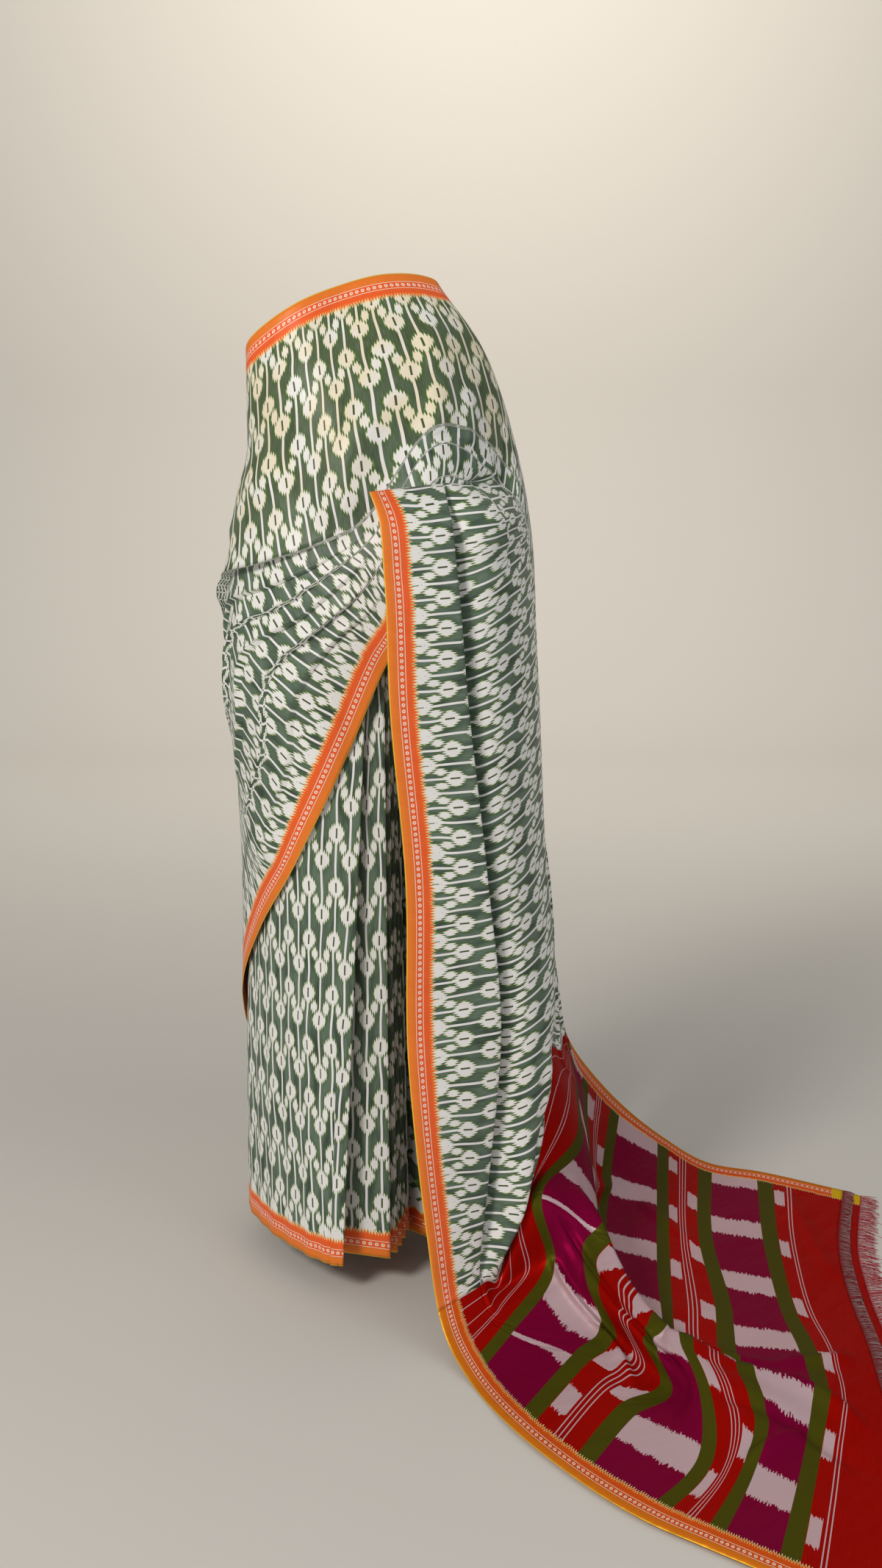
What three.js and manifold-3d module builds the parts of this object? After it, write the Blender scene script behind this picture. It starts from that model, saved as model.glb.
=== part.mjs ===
// A silk saree as it is worn, hollow, with its decorated end trailing on the floor.
// Millimetres, +Z up. The front of the wearer faces -Y, and +X is the viewer's right.
// Shapes are worked out with Z measured from the floor, then lowered so that the
// origin is at the waist, where the wearer holds the cloth.
//
// The cloth is one length, so its sections follow each other along it:
// a first round of skirt, the front pleats, a second round that rises over the chest,
// the fall from the shoulder and forearm, and the trailing end with its fringe.
import * as THREE from 'three';
import Module from 'manifold-3d';
import { mergeVertices } from 'three/addons/utils/BufferGeometryUtils.js';

const wasm = await Module();
wasm.setup();

// Driving dimensions
const WAIST_HEIGHT = 1020;
const HEM_HEIGHT = 52;
const WALL = 1.5;
const SEAM_GAP = 0.3;
const LAYER_GAP = 9;
const PLEAT_SPACING = 3;
const FRINGE_STRIP = 30;
const STRAND_COUNT = 64;
const STRAND_LENGTH = 34;
const STRAND_THICKNESS = 1.6;
const STRAND_LEAN = 0.16;
const STRAND_ROOT = 2;
const STRAND_TIP_HEIGHT = 1;
const STRIP_LOWEST = 2;
const STRIP_DROP = 3;

const lerp = (a, b, t) => a + (b - a) * t;
const smooth = (t) => t * t * (3 - 2 * t);
const clamp01 = (t) => Math.min(1, Math.max(0, t));
const bump = (t, centre, width) => Math.exp(-(((t - centre) / width) ** 2));
const radians = (degrees) => (degrees * Math.PI) / 180;

// Smooth curve through stations, each [t, x, y, z ...], read at any t.
function curveAt(stations, t) {
  let i = 0;
  while (i < stations.length - 2 && t > stations[i + 1][0]) i += 1;
  const [a, b] = [stations[i], stations[i + 1]];
  const step = b[0] - a[0];
  const k = clamp01((t - a[0]) / step);
  const slope = (j, axis) => {
    const before = stations[Math.max(j - 1, 0)];
    const here = stations[j];
    const after = stations[Math.min(j + 1, stations.length - 1)];
    const left = here === before ? null : (here[axis] - before[axis]) / (here[0] - before[0]);
    const right = here === after ? null : (after[axis] - here[axis]) / (after[0] - here[0]);
    if (left === null) return right;
    if (right === null) return left;
    const [leftStep, rightStep] = [here[0] - before[0], after[0] - here[0]];
    return (left * rightStep + right * leftStep) / (leftStep + rightStep);
  };
  return a.slice(1).map((value, index) => {
    const axis = index + 1;
    const [k2, k3] = [k * k, k * k * k];
    return (2 * k3 - 3 * k2 + 1) * value + (k3 - 2 * k2 + k) * step * slope(i, axis)
      + (3 * k2 - 2 * k3) * b[axis] + (k3 - k2) * step * slope(i + 1, axis);
  });
}

// Half-widths of the general figure under the cloth, by height above the floor.
// "point" makes the front of the skirt narrow towards its pleats near the hem.
const FIGURE = [
  //  z,  left, right, front, back, point
  [52, 164, 162, 230, 164, 1.5],
  [300, 162, 156, 204, 156, 1.4],
  [590, 154, 148, 180, 148, 1.2],
  [755, 158, 152, 170, 152, 1.05],
  [930, 170, 160, 163, 150, 1],
  [1030, 160, 146, 158, 132, 1],
  [1185, 150, 140, 142, 114, 1],
  [1316, 127, 134, 138, 108, 1],
  [1410, 140, 145, 112, 104, 1],
];

// A point on the figure. Angle 0 is the front, 90 the viewer's right, 180 the back.
function onFigure(angle, z, off) {
  const [left, right, front, back, point] = curveAt(FIGURE, z);
  const [sine, cosine] = [Math.sin(radians(angle)), Math.cos(radians(angle))];
  const sharp = cosine > 0 && sine < 0 ? point : 1;
  const x = Math.sign(sine) * Math.abs(sine) ** sharp * ((sine > 0 ? right : left) + off);
  const y = -Math.sign(cosine) * Math.abs(cosine) ** sharp * ((cosine > 0 ? front : back) + off);
  return [x, y, z];
}

// Moves a point of the second round out, where it would come too near the first.
const CLEAR_BELOW = 1290;
const CLEAR_FADE = 100;
function clearOfFigure([x, y, z]) {
  const [left, right, front, back, point] = curveAt(FIGURE, Math.max(z, FIGURE[0][0]));
  const power = 2 / (x < 0 && y < 0 ? point : 1);
  const across = Math.abs(x) / ((x > 0 ? right : left) + LAYER_GAP);
  const deep = Math.abs(y) / ((y > 0 ? back : front) + LAYER_GAP);
  const reach = (across ** power + deep ** power) ** (1 / power);
  const inside = Math.max(0, 1 / Math.max(reach, 0.5) - 1) * smooth(clamp01((CLEAR_BELOW - z) / CLEAR_FADE));
  return [x * (1 + inside), y * (1 + inside), z];
}

// Turns a grid of centre points, grid[row][column], into a closed wall.
// Normals come from the whole grid, so neighbouring stretches share their edge angles.
function normalsOf(grid) {
  const at = (r, c) => new THREE.Vector3(...grid[r][c]);
  return grid.map((row, r) => row.map((_, c) => {
    const [r0, r1] = [Math.max(r - 1, 0), Math.min(r + 1, grid.length - 1)];
    const [c0, c1] = [Math.max(c - 1, 0), Math.min(c + 1, row.length - 1)];
    const along = at(r1, c).sub(at(r0, c));
    const across = at(r, c1).sub(at(r, c0));
    return along.cross(across).normalize();
  }));
}

function wallGeometry(grid, normals, thickness) {
  const [rows, columns] = [grid.length, grid[0].length];
  const positions = [];
  for (const side of [0.5, -0.5]) {
    grid.forEach((row, r) => row.forEach((point, c) => {
      const shifted = new THREE.Vector3(...point).addScaledVector(normals[r][c], side * thickness);
      positions.push(shifted.x, shifted.y, shifted.z);
    }));
  }
  const count = rows * columns;
  const index = [];
  const quad = (a, b, c, d) => index.push(a, b, c, a, c, d);
  const top = (r, c) => r * columns + c;
  const under = (r, c) => count + r * columns + c;
  for (let r = 0; r < rows - 1; r += 1) {
    for (let c = 0; c < columns - 1; c += 1) {
      quad(top(r, c), top(r + 1, c), top(r + 1, c + 1), top(r, c + 1));
      quad(under(r, c), under(r, c + 1), under(r + 1, c + 1), under(r + 1, c));
    }
  }
  for (let r = 0; r < rows - 1; r += 1) {
    quad(top(r, 0), under(r, 0), under(r + 1, 0), top(r + 1, 0));
    quad(top(r, columns - 1), top(r + 1, columns - 1), under(r + 1, columns - 1), under(r, columns - 1));
  }
  for (let c = 0; c < columns - 1; c += 1) {
    quad(top(0, c), top(0, c + 1), under(0, c + 1), under(0, c));
    quad(top(rows - 1, c), under(rows - 1, c), under(rows - 1, c + 1), top(rows - 1, c + 1));
  }
  return closedGeometry(positions, index);
}

// Makes the geometry, with its faces turned outwards.
function closedGeometry(positions, index) {
  let volume = 0;
  const p = (i) => new THREE.Vector3().fromArray(positions, i * 3);
  for (let i = 0; i < index.length; i += 3) {
    volume += p(index[i]).dot(p(index[i + 1]).cross(p(index[i + 2])));
  }
  if (volume < 0) {
    for (let i = 0; i < index.length; i += 3) [index[i + 1], index[i + 2]] = [index[i + 2], index[i + 1]];
  }
  const geometry = new THREE.BufferGeometry();
  geometry.setAttribute('position', new THREE.Float32BufferAttribute(positions, 3));
  geometry.setIndex(index);
  return geometry;
}

// One stretch of a grid, between two of its rows. Its end rows draw back by half the
// seam gap, so that the next stretch starts a little past this one.
function stretch(grid, normals, first, last) {
  const rows = grid.slice(first, last + 1).map((row) => row.map((point) => [...point]));
  const drawBack = (edge, inner) => edge.forEach((point, c) => {
    const away = new THREE.Vector3(...inner[c]).sub(new THREE.Vector3(...point)).setLength(SEAM_GAP / 2);
    edge[c] = [point[0] + away.x, point[1] + away.y, point[2] + away.z];
  });
  if (first > 0) drawBack(rows[0], rows[1]);
  if (last < grid.length - 1) drawBack(rows[rows.length - 1], rows[rows.length - 2]);
  return wallGeometry(rows, normals.slice(first, last + 1), WALL);
}

// First round and front pleats

// Fold edges of the pleats. Each pleat runs right to its edge, turns back to its
// inner fold, and the next starts there. At the waist they lie PLEAT_SPACING apart.
const PLEATS = [
  // edge x at waist, at hem, edge y at hem, inner x at waist, at hem, inner y at hem
  [46, 3, -230, -14, -57, -170],
  [68, 74, -205, -10, -20, -160],
  [73, 84, -184, -6, 0, -146],
  [77, 90, -160, -2, 15, -128],
  [81, 95, -134, 2, 25, -108],
  [85, 100, -104, null, null, null],
];
const SKIRT_HEIGHTS = [1020, 985, 930, 850, 740, 610, 470, 330, 190, 100, 52];
const SKIRT_START_ANGLE = 22;
const SKIRT_STEPS = 34;
const HEM_FOLD_SPACING = 5;
const PLEAT_WAIST_Y = -160;
const FIRST_PLEAT_LEAD = 22;
const FIRST_PLEAT_SET_BACK = 5;
const INNER_FOLD_SET_BACK = 6;
// The cloth starts under the pleats: how far forward that layer lies, and where it ends.
const START_LAYER_WAIST = 112;
const START_LAYER_HEM = 88;
const START_LAYER_END = 62;
const START_LAYER_REACH = 22;

// How far down the skirt a height lies, from 0 at the waist to 1 at the hem.
const downSkirt = (z) => (WAIST_HEIGHT - z) / (WAIST_HEIGHT - HEM_HEIGHT);

// Soft folds that open towards the hem, where the first round shows at the front.
const SKIRT_FOLDS = [
  // angle, width in degrees, depth at hem
  [288, 6, 3],
  [310, 6, 4],
  [333, 5, 4],
];

function skirtFold(angle, z) {
  const open = smooth(downSkirt(z));
  const out = SKIRT_FOLDS.map(([centre, width, depth]) => depth * open * bump(angle, centre, width));
  return out.reduce((sum, part) => sum + part, 0);
}

// The plan of the first round and the pleats at one height, as one path.
function skirtPath(z) {
  const h = downSkirt(z);
  const path = [];
  for (let i = 0; i <= SKIRT_STEPS; i += 1) {
    const angle = lerp(SKIRT_START_ANGLE, 355, i / SKIRT_STEPS);
    const base = onFigure(angle, z, skirtFold(angle, z));
    const under = smooth(clamp01((START_LAYER_END - angle) / START_LAYER_REACH));
    const innerY = -Math.cos(radians(angle)) * lerp(START_LAYER_WAIST, START_LAYER_HEM, h);
    path.push([base[0], lerp(base[1], innerY, under), z]);
  }
  const pleatY = (layer, hemY) => lerp(PLEAT_WAIST_Y + PLEAT_SPACING * layer, hemY, h);
  PLEATS.forEach(([waistX, hemX, hemY, innerWaistX, innerHemX, innerHemY], k) => {
    const layer = 2 * k;
    const x = lerp(waistX, hemX, h);
    const turn = lerp(PLEAT_SPACING, HEM_FOLD_SPACING, h);
    if (k === 0) path.push([x - FIRST_PLEAT_LEAD, pleatY(layer, hemY) + FIRST_PLEAT_SET_BACK, z]);
    path.push([x, pleatY(layer, hemY), z]);
    if (innerWaistX === null) return;
    path.push([x, pleatY(layer, hemY) + turn, z]);
    const innerX = lerp(innerWaistX, innerHemX, h);
    const innerY = pleatY(layer + 1, innerHemY) + lerp(INNER_FOLD_SET_BACK, 0, h);
    path.push([lerp(x, innerX, 0.5), (pleatY(layer, hemY) + turn + innerY) / 2, z]);
    path.push([innerX, innerY, z]);
    path.push([innerX, innerY + turn, z]);
    const next = PLEATS[k + 1];
    const nextX = lerp(next[0], next[1], h);
    path.push([lerp(innerX, nextX, 0.5), (innerY + turn + pleatY(layer + 2, next[2])) / 2, z]);
  });
  return path;
}

// Rows run along the path, columns down the height.
function skirtGrid() {
  const plans = SKIRT_HEIGHTS.map(skirtPath);
  return plans[0].map((_, i) => plans.map((plan) => plan[i]));
}

// Second round, fall and trailing end

// Cross-lines of the second round and the chest, from the top edge to the lower border.
// Round the sides and back each is given by its two ends on the figure.
const ROUND_SECTIONS = [
  // along, top angle, top z, low angle, low z
  [130, 50, 1022, 62, 54],
  [260, 65, 1025, 100, 54],
  [390, 80, 1030, 140, 60],
  [500, 97, 1045, 178, 85],
  [630, 115, 1070, 214, 165],
  [800, 135, 1110, 246, 295],
  [955, 157, 1165, 278, 430],
  [1075, 180, 1225, 304, 535],
];
// In front each has points from the top edge, over chest and hip, to the lower border.
const FRONT_SECTIONS = [
  // along, then x, y, z at six stations
  [1215, [-52, 112, 1285], [-128, 78, 1130], [-172, 30, 930],
    [-166, -20, 780], [-126, -112, 671], [-69, -158, 648]],
  [1315, [-104, 84, 1340], [-150, 50, 1180], [-177, 20, 1010],
    [-160, -40, 870], [-94, -140, 770], [-24, -170, 738]],
  [1425, [-136, 44, 1385], [-146, 30, 1220], [-172, 10, 1070],
    [-150, -62, 972], [-72, -152, 888], [21, -176, 837]],
  [1550, [-124, -60, 1424], [-118, -76, 1271], [-96, -122, 1106],
    [-48, -160, 1030], [12, -176, 986], [71, -182, 952]],
  [1628, [-61, -85, 1465], [-45, -138, 1311], [-25, -156, 1130],
    [24, -178, 1074], [66, -186, 1022], [95, -192, 993]],
  [1700, [1, -60, 1493], [25, -150, 1311], [45, -166, 1167],
    [72, -184, 1121], [93, -196, 1075], [108, -202, 1044]],
  [1768, [64, -40, 1511], [108, -98, 1390], [130, -134, 1285],
    [138, -158, 1215], [126, -188, 1160], [100, -222, 1098]],
  [1834, [121, -10, 1513], [172, -44, 1410], [200, -72, 1282],
    [192, -108, 1222], [148, -165, 1190], [72, -242, 1155]],
];
const STATION_T = [0, 0.22, 0.42, 0.62, 0.82, 1];
// The second round starts a little past the last pleat's edge.
const ROUND_START_ALONG = 30;
const ROUND_START_GAP = 0.8;

// The fall, by how far the cloth has come over the arm. Rails run from the back
// border, round the arm's outer side, to the fold beside the front panel and the border.
const FALL_SECTIONS = [
  // along, back border, shoulder side, behind elbow, under fold, below elbow, panel fold, front border, tucks
  [1884, [146, 12, 1503], [219, 5, 1390], [246, -10, 1262], [243, -25, 1230],
    [236, -45, 1212], [150, -165, 1210], [52, -255, 1200], 0, 0],
  [1924, [146, 60, 1483], [236, 50, 1360], [268, 0, 1230], [269, -25, 1200],
    [266, -50, 1180], [162, -215, 1172], [64, -270, 1167], 4, 0],
  [2004, [136, 120, 1410], [240, 105, 1300], [284, 30, 1170], [286, 0, 1135],
    [284, -30, 1110], [171, -236, 1090], [72, -278, 1085], 9, 0],
  [2184, [130, 170, 1220], [246, 130, 1130], [295, 40, 1000], [297, 5, 965],
    [296, -30, 940], [186, -240, 910], [79, -280, 905], 12, 2],
  [2434, [160, 200, 970], [262, 140, 880], [299, 40, 750], [301, 5, 712],
    [300, -30, 685], [214, -243, 660], [100, -284, 655], 13, 6],
  [2684, [235, 210, 720], [300, 100, 645], [318, -20, 540], [308, -55, 470],
    [302, -120, 430], [235, -250, 410], [103, -305, 405], 13, 8],
  [2834, [290, 200, 550], [320, 60, 510], [318, -60, 440], [297, -122, 372],
    [283, -180, 290], [222, -270, 250], [117, -336, 260], 10, 4],
  [2934, [320, 200, 440], [333, 30, 410], [312, -105, 375], [281, -176, 285],
    [257, -235, 175], [212, -295, 160], [130, -358, 160], 6, 0],
  [3034, [345, 200, 340], [343, 0, 315], [300, -145, 325], [272, -212, 205],
    [240, -284, 80], [205, -330, 70], [146, -385, 60], 0, 0],
];
const RAIL_T = [0, 0.22, 0.38, 0.45, 0.54, 0.88, 1];
const TUCK_T = 0.02;
const PANEL_TUCK_DEPTH = 5;
const SIDE_TUCK_DEPTH = 11;
const OPEN_STEP = 6;
const LAP_SLOPE = 0.06;

// A fold that laps over: the cloth turns back behind its edge, then goes on.
function tuckedRail(t, edge, from, to, overlap, deepest) {
  const unit = (a, b) => new THREE.Vector2(b[0] - a[0], b[1] - a[1]).normalize();
  const [incoming, outgoing] = [unit(from, edge), unit(edge, to)];
  const depth = Math.min(deepest, overlap);
  const inward = [-incoming.y, incoming.x];
  const slope = (to[2] - edge[2]) * LAP_SLOPE;
  const open = OPEN_STEP * (1 - Math.min(1, overlap / OPEN_STEP));
  const step = (along, across, rise) => [
    edge[0] - incoming.x * along + outgoing.x * across + inward[0] * rise,
    edge[1] - incoming.y * along + outgoing.y * across + inward[1] * rise,
  ];
  const back = [...step(overlap, open, depth), edge[2] + slope];
  const onward = [...step(0, PANEL_TUCK_DEPTH + open, 2 * depth), edge[2] + 2 * slope];
  return [[t, ...edge], [t - TUCK_T, ...back], [t - 2 * TUCK_T, ...onward]];
}

// Sections of the trailing end, by how far past the green ground they lie.
const TRAIL_SECTIONS = [
  // along, then t, x, y, z from the back border to the front border
  [3183, [0, 368, 240, 262], [0.15, 373, 160, 240], [0.28, 375, 50, 215], [0.38, 368, -80, 190],
    [0.5, 296, -236, 182], [0.68, 312, -274, 76], [0.86, 244, -378, 30], [1, 186, -468, 6]],
  [3319, [0, 405, 262, 195], [0.18, 396, 130, 150], [0.35, 395, -60, 108], [0.5, 389, -240, 108],
    [0.6, 366, -290, 98], [0.66, 368, -335, 72],
      [0.76, 388, -385, 28], [0.86, 346, -433, 18], [1, 246, -598, 5]],
  [3424, [0, 475, 378, 85], [0.2, 432, 130, 32], [0.38, 412, -96, 24], [0.5, 430, -330, 30],
    [0.62, 446, -437, 62], [0.7, 434, -452, 50],
      [0.77, 455, -503, 16], [0.88, 392, -561, 10], [1, 312, -698, 5]],
  [3559, [0, 562, 370, 14], [0.26, 515, 3, 8], [0.5, 485, -261, 9], [0.62, 476, -385, 20],
    [0.7, 482, -478, 58], [0.78, 495, -563, 42], [0.88, 482, -668, 9], [1, 392, -790, 5]],
  [3659, [0, 625, 270, 8], [0.28, 577, -50, 8], [0.48, 570, -261, 8], [0.66, 550, -455, 18],
    [0.75, 558, -548, 46], [0.82, 561, -618, 31], [0.9, 527, -700, 9], [1, 456, -840, 5]],
  [3769, [0, 722, 222, 8], [0.32, 677, -100, 8], [0.5, 663, -297, 9], [0.61, 664, -413, 18],
    [0.74, 651, -552, 26], [0.82, 625, -634, 13], [0.93, 578, -775, 7], [1, 535, -900, 5]],
  [3902, [0, 845, 150, 6], [0.25, 786, -75, 6], [0.45, 764, -240, 8], [0.62, 750, -430, 14],
    [0.8, 718, -690, 8], [1, 640, -985, 5]],
];

// Largest folds of the chest, as soft ridges along the cloth: each lies at a place
// across it, between two places along it, and stands out by its height.
const DRAPE_FOLDS = [
  // across, width, first along, last along, height
  [0.36, 0.05, 1200, 1640, 9],
  [0.5, 0.035, 1180, 1700, 8],
  [0.62, 0.035, 1160, 1740, 8],
  [0.74, 0.03, 1150, 1760, 7],
  [0.86, 0.03, 1140, 1770, 6],
  [0.3, 0.07, 500, 1100, 7],
  [0.55, 0.07, 450, 1100, 8],
  [0.78, 0.06, 420, 1080, 8],
];
const BACK_FOLDS = [
  // across, width, first along, last along, height
  [0.06, 0.03, 1960, 3000, 7],
  [0.14, 0.03, 1980, 3000, 9],
  [0.25, 0.035, 1960, 2950, 8],
  [0.34, 0.03, 1980, 2900, 7],
  [0.66, 0.035, 1930, 2760, 6],
  [0.76, 0.03, 1930, 2700, 5],
];

const FOLD_FADE = 1.35;

function foldHeight(along, t) {
  return [...DRAPE_FOLDS, ...BACK_FOLDS].reduce((sum, [across, width, first, last, height]) => {
    const middle = (first + last) / 2;
    const reach = (last - first) / 2;
    const fade = clamp01(FOLD_FADE * (1 - Math.abs(along - middle) / reach));
    return sum + height * smooth(fade) * bump(t, across, width);
  }, 0);
}

// Column places across the cloth, closer together at the lapped folds.
const COLUMN_SPANS = [
  // from, to, steps
  [0, 0.22, 5],
  [0.22, 0.38, 4],
  [0.38, 0.5, 3],
  [0.5, 0.54, 4],
  [0.54, 0.84, 6],
  [0.84, 0.88, 4],
  [0.88, 1, 3],
];
function columnPlaces() {
  const places = [0];
  for (const [from, to, steps] of COLUMN_SPANS) {
    for (let i = 1; i <= steps; i += 1) places.push(lerp(from, to, i / steps));
  }
  return places;
}

function roundRow([along, topAngle, topZ, lowAngle, lowZ], places) {
  const at = (t) => onFigure(lerp(topAngle, lowAngle, t), lerp(topZ, lowZ, t), LAYER_GAP);
  return { along, points: places.map(at) };
}

function drapeRows(places) {
  const [waist, hem] = [WAIST_HEIGHT, HEM_HEIGHT].map((z) => skirtPath(z).at(-1));
  const start = {
    along: ROUND_START_ALONG,
    points: places.map((t) => {
      const [x, y, z] = waist.map((value, axis) => lerp(value, hem[axis], t));
      return [x + ROUND_START_GAP, y, z];
    }),
  };
  const front = FRONT_SECTIONS.map(([along, ...stations]) => {
    const table = stations.map((point, i) => [STATION_T[i], ...point]);
    return { along, points: places.map((t) => curveAt(table, t)) };
  });
  return [start, ...ROUND_SECTIONS.map((row) => roundRow(row, places)), ...front];
}

function fallRows(places) {
  return FALL_SECTIONS.map((section) => {
    const [along, back, shoulder, behind, under, below, fold, front, panelTuck, sideTuck] = section;
    const panel = tuckedRail(RAIL_T[5], fold, front, below, panelTuck, PANEL_TUCK_DEPTH);
    const side = tuckedRail(RAIL_T[4], below, fold, under, sideTuck, SIDE_TUCK_DEPTH);
    const table = [
      [RAIL_T[0], ...back], [RAIL_T[1], ...shoulder], [RAIL_T[2], ...behind], [RAIL_T[3], ...under],
      side[2], side[1], side[0], panel[2], panel[1], panel[0], [RAIL_T[6], ...front],
    ];
    return { along, points: places.map((t) => curveAt(table, t)) };
  });
}

function trailRows(places) {
  return TRAIL_SECTIONS.map(([along, ...table]) => ({ along, points: places.map((t) => curveAt(table, t)) }));
}

// Fills in rows between the sections, then lets the largest folds stand out.
function fillRows(rows, places, spacing) {
  const tables = places.map((_, c) => rows.map(({ along, points }) => [along, ...points[c]]));
  const filled = [];
  rows.forEach(({ along }, i) => {
    const next = rows[i + 1];
    if (!next) {
      filled.push(along);
      return;
    }
    const steps = Math.max(1, Math.round((next.along - along) / spacing(along)));
    for (let s = 0; s < steps; s += 1) filled.push(lerp(along, next.along, s / steps));
  });
  const onBody = (along) => along > ROUND_START_ALONG && along < FALL_SECTIONS[0][0];
  const grid = filled.map((along) => tables.map((table) => {
    const point = curveAt(table, along);
    return onBody(along) ? clearOfFigure(point) : point;
  }));
  const normals = normalsOf(grid);
  const folded = grid.map((row, r) => row.map((point, c) => {
    const out = foldHeight(filled[r], places[c]);
    const n = normals[r][c];
    return [point[0] - n.x * out, point[1] - n.y * out, point[2] - n.z * out];
  }));
  return { along: filled, grid: folded };
}

// Fringe: a narrow strip past the end of the cloth, with strands fused into it
function fringeGeometry(endRow, beforeRow, endNormals) {
  const outward = endRow.map((point, c) => {
    const away = new THREE.Vector3(...point).sub(new THREE.Vector3(...beforeRow[c]));
    return away.setZ(0).normalize();
  });
  const move = (distance, drop) => endRow.map((point, c) => [
    point[0] + outward[c].x * distance,
    point[1] + outward[c].y * distance,
    Math.max(STRIP_LOWEST, point[2] - drop),
  ]);
  const strip = [move(SEAM_GAP, 0), move(FRINGE_STRIP, STRIP_DROP)];
  let solid = toManifold(wallGeometry(strip, [endNormals, endNormals], WALL));
  const outer = strip[1];
  const columns = outer.length - 1;
  for (let i = 0; i < STRAND_COUNT; i += 1) {
    const place = ((i + 0.5) / STRAND_COUNT) * columns;
    const c = Math.min(columns - 1, Math.floor(place));
    const root = new THREE.Vector3(...outer[c]).lerp(new THREE.Vector3(...outer[c + 1]), place - c);
    const lean = STRAND_LEAN * Math.sin(i * 2.4);
    const length = STRAND_LENGTH * (0.75 + 0.25 * Math.sin(i * 1.7));
    const direction = outward[c].clone().applyAxisAngle(new THREE.Vector3(0, 0, 1), lean);
    solid = solid.add(toManifold(strandGeometry(root, direction, length)));
  }
  return fromManifold(solid);
}

// One strand: three sides, rooted a little inside the strip, lying down to its tip.
function strandGeometry(root, direction, length) {
  const side = new THREE.Vector3(-direction.y, direction.x, 0).multiplyScalar(STRAND_THICKNESS / 2);
  const base = root.clone().addScaledVector(direction, -STRAND_ROOT);
  const tip = root.clone().addScaledVector(direction, length);
  tip.z = STRAND_TIP_HEIGHT;
  const positions = [];
  for (const [centre, scale] of [[base, 1], [tip, 0.6]]) {
    for (const [across, up] of [[1, -0.25], [-1, -0.25], [0, 0.5]]) {
      const corner = centre.clone().addScaledVector(side, across * scale);
      positions.push(corner.x, corner.y, corner.z + up * STRAND_THICKNESS * scale);
    }
  }
  const index = [0, 1, 2, 3, 5, 4, 0, 3, 4, 0, 4, 1, 1, 4, 5, 1, 5, 2, 2, 5, 3, 2, 3, 0];
  return closedGeometry(positions, index);
}

function toManifold(geometry) {
  const merged = mergeVertices(geometry, 1e-4);
  return new wasm.Manifold(new wasm.Mesh({
    numProp: 3,
    vertProperties: new Float32Array(merged.attributes.position.array),
    triVerts: new Uint32Array(merged.index.array),
  }));
}

function fromManifold(solid) {
  const mesh = solid.getMesh();
  const geometry = new THREE.BufferGeometry();
  geometry.setAttribute('position', new THREE.Float32BufferAttribute(mesh.vertProperties, 3));
  geometry.setIndex([...mesh.triVerts]);
  return geometry;
}

// Assembly
const saree = new THREE.Group();
saree.position.z = -WAIST_HEIGHT;

const silk = (color) => new THREE.MeshStandardMaterial({ color, roughness: 0.45, metalness: 0 });
const GREEN = 0x4f6a4a;
const RED = 0xc0201a;

function addPiece(name, geometry, color) {
  const mesh = new THREE.Mesh(geometry, silk(color));
  mesh.name = name;
  saree.add(mesh);
}

const skirt = skirtGrid();
const skirtNormals = normalsOf(skirt);
const SKIRT_LAST_ROW = SKIRT_STEPS + 4;
addPiece('skirt_wrap', stretch(skirt, skirtNormals, 0, SKIRT_LAST_ROW), GREEN);
addPiece('front_pleats', stretch(skirt, skirtNormals, SKIRT_LAST_ROW, skirt.length - 1), GREEN);

const places = columnPlaces();
const sections = [...drapeRows(places), ...fallRows(places), ...trailRows(places)];
const CHEST_STARTS = 1200;
const rowSpacing = (along) => (along < CHEST_STARTS ? 58 : 50);
const cloth = fillRows(sections, places, rowSpacing);
const clothNormals = normalsOf(cloth.grid);
const ridgeRow = cloth.along.indexOf(FALL_SECTIONS[0][0]);
const greenEndRow = cloth.along.indexOf(FALL_SECTIONS[FALL_SECTIONS.length - 1][0]);
const lastRow = cloth.grid.length - 1;
addPiece('front_drape', stretch(cloth.grid, clothNormals, 0, ridgeRow), GREEN);
addPiece('shoulder_pallu', stretch(cloth.grid, clothNormals, ridgeRow, greenEndRow), GREEN);
addPiece('pallu_trail', stretch(cloth.grid, clothNormals, greenEndRow, lastRow), RED);
const fringe = fringeGeometry(cloth.grid[lastRow], cloth.grid[lastRow - 1], clothNormals[lastRow]);
addPiece('pallu_fringe', fringe, RED);

export default saree;
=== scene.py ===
import math

import bpy
import numpy as np
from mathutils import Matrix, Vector


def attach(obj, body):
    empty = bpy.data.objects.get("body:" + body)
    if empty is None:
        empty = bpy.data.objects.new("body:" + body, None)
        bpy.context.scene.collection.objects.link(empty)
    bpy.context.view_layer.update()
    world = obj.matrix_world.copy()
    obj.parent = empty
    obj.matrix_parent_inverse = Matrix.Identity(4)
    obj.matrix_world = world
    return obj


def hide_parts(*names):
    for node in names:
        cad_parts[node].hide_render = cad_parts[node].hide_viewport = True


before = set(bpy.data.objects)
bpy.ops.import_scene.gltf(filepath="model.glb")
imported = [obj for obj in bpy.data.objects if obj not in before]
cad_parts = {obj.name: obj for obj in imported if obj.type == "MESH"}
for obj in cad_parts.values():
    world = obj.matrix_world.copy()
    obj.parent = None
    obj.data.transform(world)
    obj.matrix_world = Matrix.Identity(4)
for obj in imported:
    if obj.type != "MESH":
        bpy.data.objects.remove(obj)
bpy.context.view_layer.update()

# View and studio
# The saree stands on a pale seamless sweep in soft light from the front left, seen from
# just above the waist and looking a little down. The sweep is not part of the garment.
FLOOR_Z = -1.020
CAMERA_AT = (0.15, -2.60, 0.20)
CAMERA_DOWN = 10.3
LENS_MM = 38.8
SWEEP_NEAR = -14.0
SWEEP_BEND = 4.8
SWEEP_RADIUS = 1.7
SWEEP_TOP = 5.0
SWEEP_HALF_WIDTH = 14.0
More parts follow.
